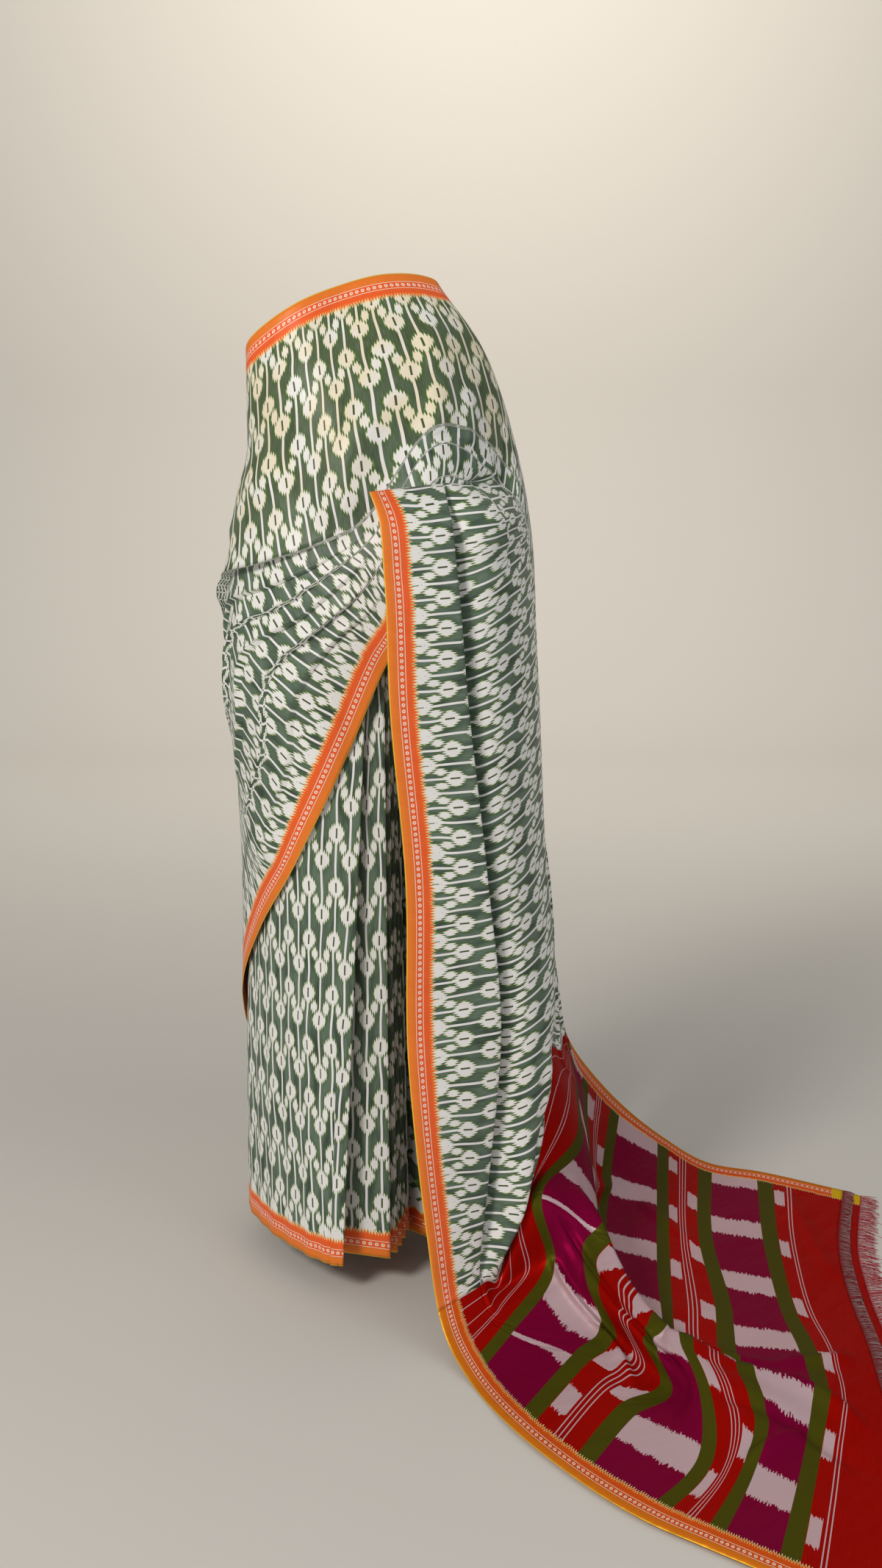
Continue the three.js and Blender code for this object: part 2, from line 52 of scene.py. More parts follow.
SWEEP_COLOUR = "#cbc9c5"
SWEEP_ROUGHNESS = 0.8
SWEEP_SHINE = 0.2
SKY_COLOUR = "#fdfaf5"
SKY_STRENGTH = 0.40
SOFT_LIGHTS = {
    # name: place, aims at, size, watts, colour
    "key": ((-2.0, -3.1, 2.1), (0.1, 0, 0.25), 1.2, 112, "#fff8ef"),
    "fill": ((2.8, -2.6, 0.9), (0.3, 0, -0.3), 2.6, 23, "#f6f6f8"),
    "wall": ((0.3, 3.0, 3.7), (0.4, 6.5, 1.9), 3.0, 176, "#fff5e6"),
}


def colour(text):
    """Colour from its usual red, green and blue hex digits, as linear values."""
    parts = [int(text[i:i + 2], 16) / 255 for i in (1, 3, 5)]
    return [c / 12.92 if c <= 0.04045 else ((c + 0.055) / 1.055) ** 2.4 for c in parts] + [1]


def aimed(obj, place, target):
    """Puts an object at a place and turns it to look at a target."""
    obj.location = place
    way = Vector(target) - Vector(place)
    obj.rotation_euler = way.to_track_quat("-Z", "Y").to_euler()
    return obj


scene = bpy.context.scene
scene.view_settings.view_transform = "Standard"
camera_data = bpy.data.cameras.new("photo_camera")
camera_data.lens = LENS_MM
camera_data.sensor_width = 36
camera = bpy.data.objects.new("photo_camera", camera_data)
camera.location = CAMERA_AT
camera.rotation_euler = (math.radians(90 - CAMERA_DOWN), 0, 0)
scene.collection.objects.link(camera)
scene.camera = camera

for light_name, (place, target, size, watts, tint) in SOFT_LIGHTS.items():
    lamp = bpy.data.lights.new(light_name, "AREA")
    lamp.shape = "DISK"
    lamp.size = size
    lamp.energy = watts
    lamp.color = colour(tint)[:3]
    light = aimed(bpy.data.objects.new(light_name, lamp), place, target)
    light.visible_camera = False
    scene.collection.objects.link(light)

world = bpy.data.worlds.new("studio")
scene.world = world
world.use_nodes = True
world.node_tree.nodes["Background"].inputs["Color"].default_value = colour(SKY_COLOUR)
world.node_tree.nodes["Background"].inputs["Strength"].default_value = SKY_STRENGTH

bend = [math.radians(a) for a in range(0, 91, 5)]
profile = [(SWEEP_NEAR, FLOOR_Z)]
profile += [
    (SWEEP_BEND + SWEEP_RADIUS * math.sin(a), FLOOR_Z + SWEEP_RADIUS * (1 - math.cos(a)))
    for a in bend
]
profile += [(SWEEP_BEND + SWEEP_RADIUS, SWEEP_TOP)]
sweep_mesh = bpy.data.meshes.new("studio_sweep")
sweep_mesh.from_pydata(
    [(x, y, z) for y, z in profile for x in (-SWEEP_HALF_WIDTH, SWEEP_HALF_WIDTH)],
    [],
    [(2 * i, 2 * i + 1, 2 * i + 3, 2 * i + 2) for i in range(len(profile) - 1)],
)
sweep_mesh.polygons.foreach_set("use_smooth", [True] * len(sweep_mesh.polygons))
sweep = bpy.data.objects.new("studio_sweep", sweep_mesh)
scene.collection.objects.link(sweep)
sweep_paint = bpy.data.materials.new("sweep_paint")
sweep_paint.use_nodes = True
sweep_shader = sweep_paint.node_tree.nodes["Principled BSDF"]
sweep_shader.inputs["Base Color"].default_value = colour(SWEEP_COLOUR)
sweep_shader.inputs["Roughness"].default_value = SWEEP_ROUGHNESS
sweep_shader.inputs["Specular IOR Level"].default_value = SWEEP_SHINE
sweep_mesh.materials.append(sweep_paint)

# Skirt, first round
# One round of silk from its hidden start under the pleats, all the way about and back to
# the front, held at the waist. Resist-dyed silk: a green ground with white leaf shapes.
MM = 0.001
WAIST = 1020
HEM = 52
CLOTH_WIDTH = 1180
CLOTH_THICKNESS = 0.6
SKIRT_STEP = 6
SKIRT_COLUMNS = 190
WORN_PLAN = [
    # height, then how far the first round stands out left, right, in front and behind, point
    [52, 164, 162, 230, 164, 1.5],
    [300, 162, 156, 204, 156, 1.4],
    [590, 154, 148, 180, 148, 1.2],
    [755, 158, 152, 170, 152, 1.05],
    [930, 170, 160, 163, 150, 1],
    [1030, 160, 146, 158, 132, 1],
    [1185, 150, 140, 142, 114, 1],
    [1316, 127, 134, 138, 108, 1],
    [1410, 140, 145, 112, 104, 1],
]
SKIRT_START = 22
SKIRT_END = 355
START_LAYER_WAIST = 112
START_LAYER_HEM = 88
START_LAYER_END = 62
START_LAYER_REACH = 22
SKIRT_FOLDS = [
    # angle at hem, angle at waist, width in degrees, depth at hem, depth at waist
    [288, 284, 5, 3, 0],
    [300, 300, 3, 2.5, 0.5],
    [310, 314, 4, 4, 0.5],
    [321, 328, 2.5, 2.5, 1],
    [333, 340, 3, 4, 1.5],
    [343, 350, 2, 2.5, 2],
    [120, 122, 7, 4, 0],
    [150, 146, 6, 5, 0],
    [180, 183, 7, 5, 0],
    [212, 208, 6, 5, 0],
    [243, 240, 7, 4, 0],
]


def through(knots, values, at):
    """Smooth curve through stations with uneven steps, read at the given places."""
    knots, values, at = (np.asarray(v, float) for v in (knots, values, at))
    lift = (...,) + (None,) * (values.ndim - 1)
    step = np.diff(knots)
    rise = np.diff(values, axis=0) / step[lift]
    slope = np.empty_like(values)
    slope[0], slope[-1] = rise[0], rise[-1]
    before, after = step[:-1][lift], step[1:][lift]
    slope[1:-1] = (rise[:-1] * after + rise[1:] * before) / (before + after)
    i = np.clip(np.searchsorted(knots, at, side="right") - 1, 0, len(step) - 1)
    k = np.clip((at - knots[i]) / step[i], 0, 1)[lift]
    run = step[i][lift]
    return (
        (2 * k**3 - 3 * k**2 + 1) * values[i] + (k**3 - 2 * k**2 + k) * run * slope[i]
        + (3 * k**2 - 2 * k**3) * values[i + 1] + (k**3 - k**2) * run * slope[i + 1]
    )


def mix(a, b, t):
    """The value a share t of the way from a to b."""
    return a + (b - a) * t


def smooth(t):
    """From 0 to 1 with a soft start and end."""
    t = np.clip(t, 0, 1)
    return t * t * (3 - 2 * t)


def bump(t, centre, width):
    """A soft rise to 1 at the centre."""
    return np.exp(-(((t - centre) / width) ** 2))


def plan_at(z):
    """How far the first round stands out at each of the given heights."""
    table = through([r[0] for r in WORN_PLAN], [r[1:] for r in WORN_PLAN], z.ravel())
    return np.moveaxis(table.reshape(*z.shape, 5), -1, 0)


def worn_round(angle, z, off):
    """Points round the worn cloth. Angle 0 is its front and 90 the viewer's right."""
    left, right, front, back, point = plan_at(z)
    sine, cosine = np.sin(np.radians(angle)), np.cos(np.radians(angle))
    sharp = np.where((cosine > 0) & (sine < 0), point, 1)
    x = np.sign(sine) * np.abs(sine) ** sharp * (np.where(sine > 0, right, left) + off)
    y = -np.sign(cosine) * np.abs(cosine) ** sharp * (np.where(cosine > 0, front, back) + off)
    return np.stack([x, y, z], -1)


def normals_of(grid):
    """Unit normals of a grid of points, one for each point."""
    along = np.gradient(grid, axis=0)
    across = np.gradient(grid, axis=1)
    normal = np.cross(along, across)
    return normal / np.maximum(np.linalg.norm(normal, axis=-1, keepdims=True), 1e-9)


def down_skirt(z):
    """Share of the way from the waist down to the hem."""
    return (WAIST - z) / (WAIST - HEM)


def skirt_fold(angle, z):
    """How far the skirt's soft folds stand out."""
    h = down_skirt(z)
    return sum(
        mix(waist_depth, hem_depth, smooth(h)) * bump(angle, mix(waist_angle, hem_angle, h), width)
        for hem_angle, waist_angle, width, hem_depth, waist_depth in SKIRT_FOLDS
    )


def round_path(z):
    """Plan of the first round at one height, from under the pleats to the front."""
    angle = np.linspace(SKIRT_START, SKIRT_END, SKIRT_COLUMNS)
    height = np.full_like(angle, z)
    h = down_skirt(z)
    path = worn_round(angle, height, skirt_fold(angle, z))
    inner = -np.cos(np.radians(angle)) * mix(START_LAYER_WAIST, START_LAYER_HEM, h)
    under = smooth((START_LAYER_END - angle) / START_LAYER_REACH)
    path[:, 1] = mix(path[:, 1], inner, under)
    return path


def cloth_object(name, grid, normal, u, v, material):
    """A thin closed shell along a grid of points, with the cloth's own metres as its UV."""
    rows, columns = grid.shape[:2]
    half = normal * CLOTH_THICKNESS / 2
    points = np.concatenate([(grid + half).reshape(-1, 3), (grid - half).reshape(-1, 3)])
    points = (points - [0, 0, WAIST]) * MM
    number = np.arange(rows * columns).reshape(rows, columns)
    a, b = number[:-1, :-1].ravel(), number[1:, :-1].ravel()
    c, d = number[1:, 1:].ravel(), number[:-1, 1:].ravel()
    count = rows * columns
    rim = np.concatenate([number[:, 0], number[-1, 1:], number[-2::-1, -1], number[0, -2:0:-1]])
    after = np.roll(rim, -1)
    faces = np.concatenate([
        np.stack([a, b, c, d], 1),
        np.stack([a, d, c, b], 1) + count,
        np.stack([rim, rim + count, after + count, after], 1),
    ])
    p = points[faces]
    turned = np.cross(p[:, 1], p[:, 2]) + np.cross(p[:, 2], p[:, 3])
    if np.einsum("ij,ij->", p[:, 0], turned) < 0:
        faces = faces[:, ::-1]
    mesh = bpy.data.meshes.new(name)
    mesh.from_pydata(points.tolist(), [], faces.tolist())
    place = np.stack([np.broadcast_to(u, grid.shape[:2]), np.broadcast_to(v, grid.shape[:2])], -1)
    place = np.tile(place.reshape(-1, 2), (2, 1)) * MM
    layer = mesh.uv_layers.new(name="cloth")
    layer.data.foreach_set("uv", place[faces.ravel()].ravel().astype(np.float32))
    mesh.polygons.foreach_set("use_smooth", np.ones(len(faces), bool))
    mesh.materials.append(material)
    obj = bpy.data.objects.new(name, mesh)
    scene.collection.objects.link(obj)
    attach(obj, "root")
    return obj


def declare_cloth(obj, node, slot, grid, **facts):
    """Hides the model's part that the piece of cloth stands in for."""
    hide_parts(node)


class Sum:
    """A number in a material, worked out by Math nodes as plain arithmetic."""

    def __init__(self, tree, socket):
        self.tree, self.socket = tree, socket

    def step(self, operation, *others):
        """One Math node on this number and the others."""
        node = self.tree.nodes.new("ShaderNodeMath")
        node.operation = operation
        for i, value in enumerate((self, *others)):
            if isinstance(value, Sum):
                self.tree.links.new(value.socket, node.inputs[i])
            else:
                node.inputs[i].default_value = value
        return Sum(self.tree, node.outputs[0])

    def __add__(self, other):
        return self.step("ADD", other)

    def __sub__(self, other):
        return self.step("SUBTRACT", other)

    def __mul__(self, other):
        return self.step("MULTIPLY", other)

    def __rsub__(self, other):
        return (self * -1).step("ADD", other)

    __radd__ = __add__
    __rmul__ = __mul__

    def __abs__(self):
        return self.step("ABSOLUTE")

    def __pow__(self, power):
        return self.step("POWER", power)

    def over(self, limit):
        return self.step("GREATER_THAN", limit)

    def under(self, limit):
        return self.step("LESS_THAN", limit)

    def least(self, other):
        return self.step("MINIMUM", other)

    def most(self, other):
        return self.step("MAXIMUM", other)

    def each(self, pitch):
        """The rest after whole steps of a pitch, from 0 to the pitch."""
        return self.step("FLOORED_MODULO", pitch)

    def ramp(self, low, high):
        """From 0 at low to 1 at high, and level past them."""
        sloped = (self - low) * (1 / (high - low))
        sloped.socket.node.use_clamp = True
        return sloped


def chance(tree, number, seed):
    """A fixed random number from 0 to 1 for each whole number."""
    node = tree.nodes.new("ShaderNodeTexWhiteNoise")
    node.noise_dimensions = "2D"
    pair = tree.nodes.new("ShaderNodeCombineXYZ")
    tree.links.new(number.step("FLOOR").socket, pair.inputs[0])
    pair.inputs[1].default_value = seed
    tree.links.new(pair.outputs[0], node.inputs["Vector"])
    return Sum(tree, node.outputs["Value"])


def cloud(tree, u, v, scale_u, scale_v, detail=2):
    """Soft noise from 0 to 1, with its own scale along and across the cloth."""
    node = tree.nodes.new("ShaderNodeTexNoise")
    node.noise_dimensions = "2D"
    node.inputs["Scale"].default_value = 1
    node.inputs["Detail"].default_value = detail
    pair = tree.nodes.new("ShaderNodeCombineXYZ")
    tree.links.new((u * scale_u).socket, pair.inputs[0])
    tree.links.new((v * scale_v).socket, pair.inputs[1])
    tree.links.new(pair.outputs[0], node.inputs["Vector"])
    return Sum(tree, node.outputs["Fac"])


def painted(tree, base, share, over):
    """Lays one colour over another, by a share from 0 to 1."""
    node = tree.nodes.new("ShaderNodeMix")
    node.data_type = "RGBA"
    node.clamp_factor = True
    tree.links.new(share.socket, node.inputs[0])
    for value, socket in ((base, node.inputs[6]), (over, node.inputs[7])):
        if isinstance(value, str):
            socket.default_value = colour(value)
        else:
            tree.links.new(value, socket)
    return node.outputs[2]


SILK_ROUGHNESS = 0.45
SLUB_SCALE = (1.6, 0.06)
THREAD_RELIEF = 0.09
RIPPLE_SCALE = (0.022, 0.009)
RIPPLE = 7
RELIEF_STRENGTH = 0.5


def silk_material(name, paint, shine=0.3, gleam=0.0, edge="#ffffff"):
    """Silk with painted colours and its threads as fine bump.

    The shine is white, the gleam takes the dye's own colour, and edge tints it at a slant.
    """
    material = bpy.data.materials.new(name)
    material.use_nodes = True
    tree = material.node_tree
    place = tree.nodes.new("ShaderNodeUVMap")
    place.uv_map = "cloth"
    parts = tree.nodes.new("ShaderNodeSeparateXYZ")
    tree.links.new(place.outputs[0], parts.inputs[0])
    u, v = (Sum(tree, parts.outputs[i]) * 1000 for i in (0, 1))
    shader = tree.nodes["Principled BSDF"]
    tree.links.new(paint(tree, u, v), shader.inputs["Base Color"])
    shader.inputs["Roughness"].default_value = SILK_ROUGHNESS
    shader.inputs["Specular IOR Level"].default_value = shine
    shader.inputs["Metallic"].default_value = gleam
    shader.inputs["Specular Tint"].default_value = colour(edge)
    slubs = cloud(tree, u, v, *SLUB_SCALE) + cloud(tree, u, v, *SLUB_SCALE[::-1])
    ripples = cloud(tree, u + v * 0.5, v, *RIPPLE_SCALE) * RIPPLE
    relief = tree.nodes.new("ShaderNodeBump")
    relief.inputs["Strength"].default_value = RELIEF_STRENGTH
    relief.inputs["Distance"].default_value = MM
    tree.links.new((slubs * THREAD_RELIEF + ripples).socket, relief.inputs["Height"])
    tree.links.new(relief.outputs[0], shader.inputs["Normal"])
    return material


# Sizes of the resist-dyed pattern, in millimetres, and its colours.
WAVER = 9
LINE_PITCH = 21
LEAF_PITCH = 81
LEAF_HALF = (11.4, 14.6)
BUD_HALF = (5.0, 9.4)
BUD_PAST_LEAF = 21
SLIT_HALF = (1.2, 7.4)
LINE_HALF = 1.6
LEAF_ROUNDNESS = 1.55
HALF_LEAF = 22
SLITS_END = 16
THREAD_GROUP = 3.2
TOOTH_LENGTH = 6.4
TOOTH_UNEVEN = 2.4
WARM_FROM = (1100, 1250)
WARM_TO = (1880, 1990)
WARM_ACROSS = (520, 120)
CREAM_ACROSS = (330, 230)
BORDER = 37
RING_PITCH = 8.4
RING_AT = 20
RING_RADIUS = 1.8
RING_HALF = 0.8
CHAIN_LINES = (14.6, 25.4)
CHAIN_LINE_HALF = 0.45
SELVAGE = 1.6
SILK_WHITE = "#e6e7e6"
SILK_CREAM = "#e5dcc4"
GROUND_DARK = "#35433b"
GROUND_SOFT = "#5d7062"
GROUND_WARM = "#4a5836"
GROUND_BRIGHT = "#42622a"
GROUND_THREAD = "#7f9a7c"
HALO = "#93a25c"
SLIT_GREEN = "#47512e"
SHORT_SLIT_GREEN = "#5a6440"
BORDER_OUTER = "#ea8128"
BORDER_INNER = "#ef6226"
BORDER_SHADE = "#b8471c"
BORDER_SPIKES = ("#dcd9a0", "#ee9a3a")
BORDER_WHITE = "#efdccc"
SELVAGE_YELLOW = "#e3b53a"


def teeth(tree, u):
    """How far each small group of threads carries its dye on, in millimetres."""
    group = u.each(THREAD_GROUP)
    point = 1 - abs(group - THREAD_GROUP / 2) * (2 / THREAD_GROUP)
    uneven = chance(tree, u * (1 / THREAD_GROUP), 7) * TOOTH_UNEVEN
    return point * TOOTH_LENGTH + uneven - TOOTH_LENGTH / 2 - 1


def leaf_depth(across, along, half):
    """How deep a place lies inside a leaf shape, in millimetres, below 0 outside it."""
    wide = (abs(across) * (1 / half[0])) ** LEAF_ROUNDNESS
    tall = (along * (1 / half[1])) ** LEAF_ROUNDNESS
    return (1 - (wide + tall)) * (half[0] * 0.6)


def border_paint(tree, ground, u, v, outer=BORDER_OUTER, inner=BORDER_INNER):
    """The woven border at both edges: two oranges with a chain of rings between lines."""
    d = v.least(CLOTH_WIDTH - v)
    spikes = teeth(tree, u * 0.8) * 1.1
    shade = cloud(tree, u, v, 0.9, 0.03) * 0.3
    result = painted(tree, ground, d.under(BORDER + 3.4 + spikes), BORDER_SPIKES[0])
    result = painted(tree, result, d.under(BORDER + 1.6 + spikes), BORDER_SPIKES[1])
    result = painted(tree, result, d.under(BORDER + spikes), inner)
    result = painted(tree, result, d.ramp(15, 12) * 0.9, outer)
    result = painted(tree, result, d.under(BORDER - 3) * shade, BORDER_SHADE)
    ring = ((u.each(RING_PITCH) - RING_PITCH / 2) ** 2 + (d - RING_AT) ** 2).step("SQRT")
    result = painted(tree, result, abs(ring - RING_RADIUS).under(RING_HALF), BORDER_WHITE)
    lines = abs(d - CHAIN_LINES[0]).least(abs(d - CHAIN_LINES[1])).under(CHAIN_LINE_HALF)
    result = painted(tree, result, lines, BORDER_WHITE)
    return painted(tree, result, d.under(SELVAGE), SELVAGE_YELLOW)


def ikat_paint(tree, u, v):
    """White leaf shapes on lines, offset from line to line, on a green ground."""
    u = u + cloud(tree, u, v, 0.006, 0.011, 1) * WAVER - WAVER / 2
    a = u.each(2 * LINE_PITCH) - LINE_PITCH
    to_a = abs(a)
    to_b = LINE_PITCH - to_a
    dye = teeth(tree, u)
    along_a = abs(v.each(LEAF_PITCH) - LEAF_PITCH / 2)
    along_b = abs((v + LEAF_PITCH / 2).each(LEAF_PITCH) - LEAF_PITCH / 2)
    along_bud = abs((v - BUD_PAST_LEAF).each(LEAF_PITCH) - LEAF_PITCH / 2)
    leaves = leaf_depth(to_a, (along_a - dye).most(0), LEAF_HALF)
    leaves = leaves.most(leaf_depth(to_b, (along_b - dye).most(0), LEAF_HALF))
    buds = leaf_depth(to_a - LINE_PITCH / 2, (along_bud - dye).most(0), BUD_HALF) * 1.3
    edge = CLOTH_WIDTH - BORDER - v
    points = (HALF_LEAF - edge + dye) * 0.62 - to_b
    depth = leaves.most(buds).most(points)
    wide = cloud(tree, u, v, 0.05, 0.012)
    ground = painted(tree, GROUND_DARK, wide.ramp(0.33, 0.62), GROUND_SOFT)
    warm = u.ramp(*WARM_FROM) * u.ramp(*WARM_TO[::-1])
    ground = painted(tree, ground, v.ramp(*WARM_ACROSS) * warm * 0.75, GROUND_WARM)
    thread = cloud(tree, u, v, 1.1, 0.05, 1)
    ground = painted(tree, ground, thread.ramp(0.45, 0.8) * 0.3, GROUND_THREAD)
    result = painted(tree, ground, depth.ramp(-5, -1.4) * 0.85, GROUND_BRIGHT)
    result = painted(tree, result, depth.ramp(-1.6, -0.7) * 0.6, HALO)
    aged = cloud(tree, u, v, 0.02, 0.02, 1).ramp(0.3, 0.6) * v.ramp(*CREAM_ACROSS)
    white = painted(tree, SILK_WHITE, aged * warm, SILK_CREAM)
    result = painted(tree, result, depth.ramp(-0.5, 0.2), white)
    line = to_a.least(to_b).under(LINE_HALF)
    result = painted(tree, result, line, white)
    slit = to_a.under(SLIT_HALF[0]) * along_a.under(SLIT_HALF[1])
    slit = slit + to_b.under(SLIT_HALF[0]) * along_b.under(SLIT_HALF[1])
    result = painted(tree, result, slit * edge.over(SLITS_END), SLIT_GREEN)
    short_slit = abs(edge - 7).under(5.5) * u.each(4 * LINE_PITCH).under(SLIT_HALF[0])
    result = painted(tree, result, short_slit, SHORT_SLIT_GREEN)
    return border_paint(tree, result, u, v)


ikat_silk = silk_material("ikat_silk", ikat_paint)

skirt_heights = np.linspace(WAIST, HEM, round((WAIST - HEM) / SKIRT_STEP))


def skirt_depth(grid):
    """Place across the cloth of each point of the skirt, from its hidden top edge."""
    return CLOTH_WIDTH - (grid[..., 2] - HEM)


# Front pleats
# The next metre of the same cloth, folded back and forth and tucked in at the waist in
# front, with the fold edges on the viewer's right. They spread a little towards the hem.
PLEAT_WAIST_Y = -160
PLEAT_SPACING = 3
HEM_FOLD_SPACING = 5
PLEATS = [
    # edge x at waist, at hem, edge y at hem, inner x at waist, at hem, inner y at hem
    [46, 3, -230, -14, -57, -170],
    [68, 74, -205, -10, -20, -160],
    [73, 84, -184, -6, 0, -146],
    [77, 90, -160, -2, 15, -128],
    [81, 95, -134, 2, 25, -108],
    [85, 100, -104, None, None, None],
]
FIRST_PLEAT_LEAD = 22
FIRST_PLEAT_SET_BACK = 5
INNER_FOLD_SET_BACK = 6
PLEAT_STEPS = 12
JOIN_STEPS = 6
TURN_STEPS = 2
SHORT_SPAN = 8
FOLD_SOFTENING = 2


def pleat_corners(z):
    """Corners of the pleats' plan at one height."""
    h = down_skirt(z)
    corners = []

    def pleat_y(layer, hem_y):
        return mix(PLEAT_WAIST_Y + PLEAT_SPACING * layer, hem_y, h)

    for k, (waist_x, hem_x, hem_y, inner_waist, inner_hem, inner_hem_y) in enumerate(PLEATS):
        x = mix(waist_x, hem_x, h)
        y = pleat_y(2 * k, hem_y)
        turn = mix(PLEAT_SPACING, HEM_FOLD_SPACING, h)
        if k == 0:
            corners.append((x - FIRST_PLEAT_LEAD, y + FIRST_PLEAT_SET_BACK, z))
        corners.append((x, y, z))
        if inner_waist is None:
            break
        corners.append((x, y + turn, z))
        inner_x = mix(inner_waist, inner_hem, h)
        inner_y = pleat_y(2 * k + 1, inner_hem_y) + mix(INNER_FOLD_SET_BACK, 0, h)
        corners.append((mix(x, inner_x, 0.5), (y + turn + inner_y) / 2, z))
        corners.append((inner_x, inner_y, z))
        corners.append((inner_x, inner_y + turn, z))
        next_pleat = PLEATS[k + 1]
        next_x = mix(next_pleat[0], next_pleat[1], h)
        next_y = pleat_y(2 * k + 2, next_pleat[2])
        corners.append((mix(inner_x, next_x, 0.5), (inner_y + turn + next_y) / 2, z))
    return np.array(corners)


def pleat_path(z, first):
    """The pleats' plan with rounded folds, starting where the first round ends."""
    corners = np.concatenate([[first], pleat_corners(z)])
    spans = np.linalg.norm(np.diff(pleat_corners(400), axis=0), axis=1)
    counts = [JOIN_STEPS] + [TURN_STEPS if span < SHORT_SPAN else PLEAT_STEPS for span in spans]
    path = [corners[0]]
    for a, b, steps in zip(corners, corners[1:], counts):
        path += [mix(a, b, i / steps) for i in range(1, steps + 1)]
    path = np.array(path)
    for _ in range(FOLD_SOFTENING):
        path[1:-1] = (path[:-2] + 2 * path[1:-1] + path[2:]) / 4
    return path


rounds = [round_path(z) for z in skirt_heights]
skirt_grid = np.stack([
    np.concatenate([path[:-1], pleat_path(z, path[-1])]) for z, path in zip(skirt_heights, rounds)
], 1)
skirt_normal = normals_of(skirt_grid)
middle = skirt_grid[:, np.argmin(abs(skirt_heights - 450))]
skirt_u = np.concatenate([[0], np.cumsum(np.linalg.norm(np.diff(middle, axis=0), axis=1))])
skirt_u = np.repeat((skirt_u - skirt_u[-1])[:, None], len(skirt_heights), 1)
FIRST_EDGE = len(rounds[0]) - 1 + JOIN_STEPS + PLEAT_STEPS
runs = np.linalg.norm(np.diff(skirt_grid[:FIRST_EDGE + 1], axis=0), axis=2)
skirt_u[:FIRST_EDGE] = skirt_u[FIRST_EDGE] - runs[::-1].cumsum(0)[::-1]
FIRST_PLEAT_TURN = FIRST_EDGE + TURN_STEPS + PLEAT_STEPS
pieces_of_skirt = {
    "skirt_wrap": slice(0, FIRST_PLEAT_TURN + 1),
    "front_pleats": slice(FIRST_PLEAT_TURN, None),
}
for piece_name, rows in pieces_of_skirt.items():
    part = skirt_grid[rows]
    piece = cloth_object(
        piece_name + "_silk", part, skirt_normal[rows], skirt_u[rows], skirt_depth(part), ikat_silk
    )
    declare_cloth(piece, piece_name, "ikat_silk", part)

# Second round and chest
# The cloth leaves the last pleat, goes round the back and rises over the hip and the
# chest to the shoulder and the front panel's top. Its lower border crosses the skirt.
LAYER_GAP = 9
CLEAR_BELOW = 1290
CLEAR_FADE = 100
ROUND_START = 30
ROUND_START_GAP = 0.8
ROUND_SECTIONS = [
    # along, top angle, top z, low angle, low z
    [130, 50, 1022, 62, 54],
    [260, 65, 1025, 100, 54],
    [390, 80, 1030, 140, 60],
    [500, 97, 1045, 178, 85],
    [630, 115, 1070, 214, 165],
    [800, 135, 1110, 246, 295],
    [955, 157, 1165, 278, 430],
    [1075, 180, 1225, 304, 535],
]
STATION_T = [0, 0.22, 0.42, 0.62, 0.82, 1]
FRONT_SECTIONS = [
    # along, then x, y, z at six stations
    [1215, [-52, 112, 1285], [-128, 78, 1130], [-172, 30, 930],
     [-166, -20, 780], [-126, -112, 671], [-69, -158, 648]],
    [1315, [-104, 84, 1340], [-150, 50, 1180], [-177, 20, 1010],
     [-160, -40, 870], [-94, -140, 770], [-24, -170, 738]],
    [1425, [-136, 44, 1385], [-146, 30, 1220], [-172, 10, 1070],
     [-150, -62, 972], [-72, -152, 888], [21, -176, 837]],
    [1550, [-124, -60, 1424], [-118, -76, 1271], [-96, -122, 1106],
     [-48, -160, 1030], [12, -176, 986], [71, -182, 952]],
    [1628, [-61, -85, 1465], [-45, -138, 1311], [-25, -156, 1130],
     [24, -178, 1074], [66, -186, 1022], [95, -192, 993]],
    [1700, [1, -60, 1493], [25, -150, 1311], [45, -166, 1167],
     [72, -184, 1121], [93, -196, 1075], [108, -202, 1044]],
    [1768, [64, -40, 1511], [108, -98, 1390], [130, -134, 1285],
     [138, -158, 1215], [126, -188, 1160], [100, -222, 1098]],
    [1834, [121, -10, 1513], [172, -44, 1410], [200, -72, 1282],
     [192, -108, 1222], [148, -165, 1190], [72, -242, 1155]],
]
CREASES = [
    # across, first along, last along, height, soft width, lap, share of hidden cloth
    [0.080, 1960, 3500, 6, 0.030, 1, 0],
    [0.160, 1990, 3400, 7, 0.030, 1, 0],
    [0.250, 1930, 3300, 7, 0.028, 1, 0],
    [0.350, 1920, 3200, 7, 0.025, 1, 0],
    [0.420, 1230, 1690, 17, 0.050, 9, 6],
    [0.490, 1280, 1700, 8, 0.035, 2, 0],
    [0.555, 1220, 1700, 11, 0.038, 2, 2],
    [0.625, 1180, 1700, 10, 0.036, 2, 0],
    [0.700, 1180, 1700, 11, 0.036, 2, 2],
    [0.780, 1200, 1700, 8, 0.036, 1, 0],
]
CREASE_DROP = 0.010
LAPS = [
    # from, to, share of hidden cloth in the fall
    [0.505, 0.535, 3],
    [0.845, 0.875, 3],
]
LAP_MARGIN = 0.005
LAP_COLUMNS = 5
LAP_FINE = 0.003
# Where the cloth hidden in the chest's folds passes on into the laps of the fall.
FALL_STARTS = 1800
FALL_SETTLED = 2080
# The fan of folds below the panel's top runs more steeply than the cloth's own threads.
FAN_TURN = 0.0004
FAN_MIDDLE = 1560
FAN_HALF = 190
FAN_FADE = 1.2
FAN_TOP_T = (0.43, 0.14)
FAN_LOW_T = (0.985, 0.12)
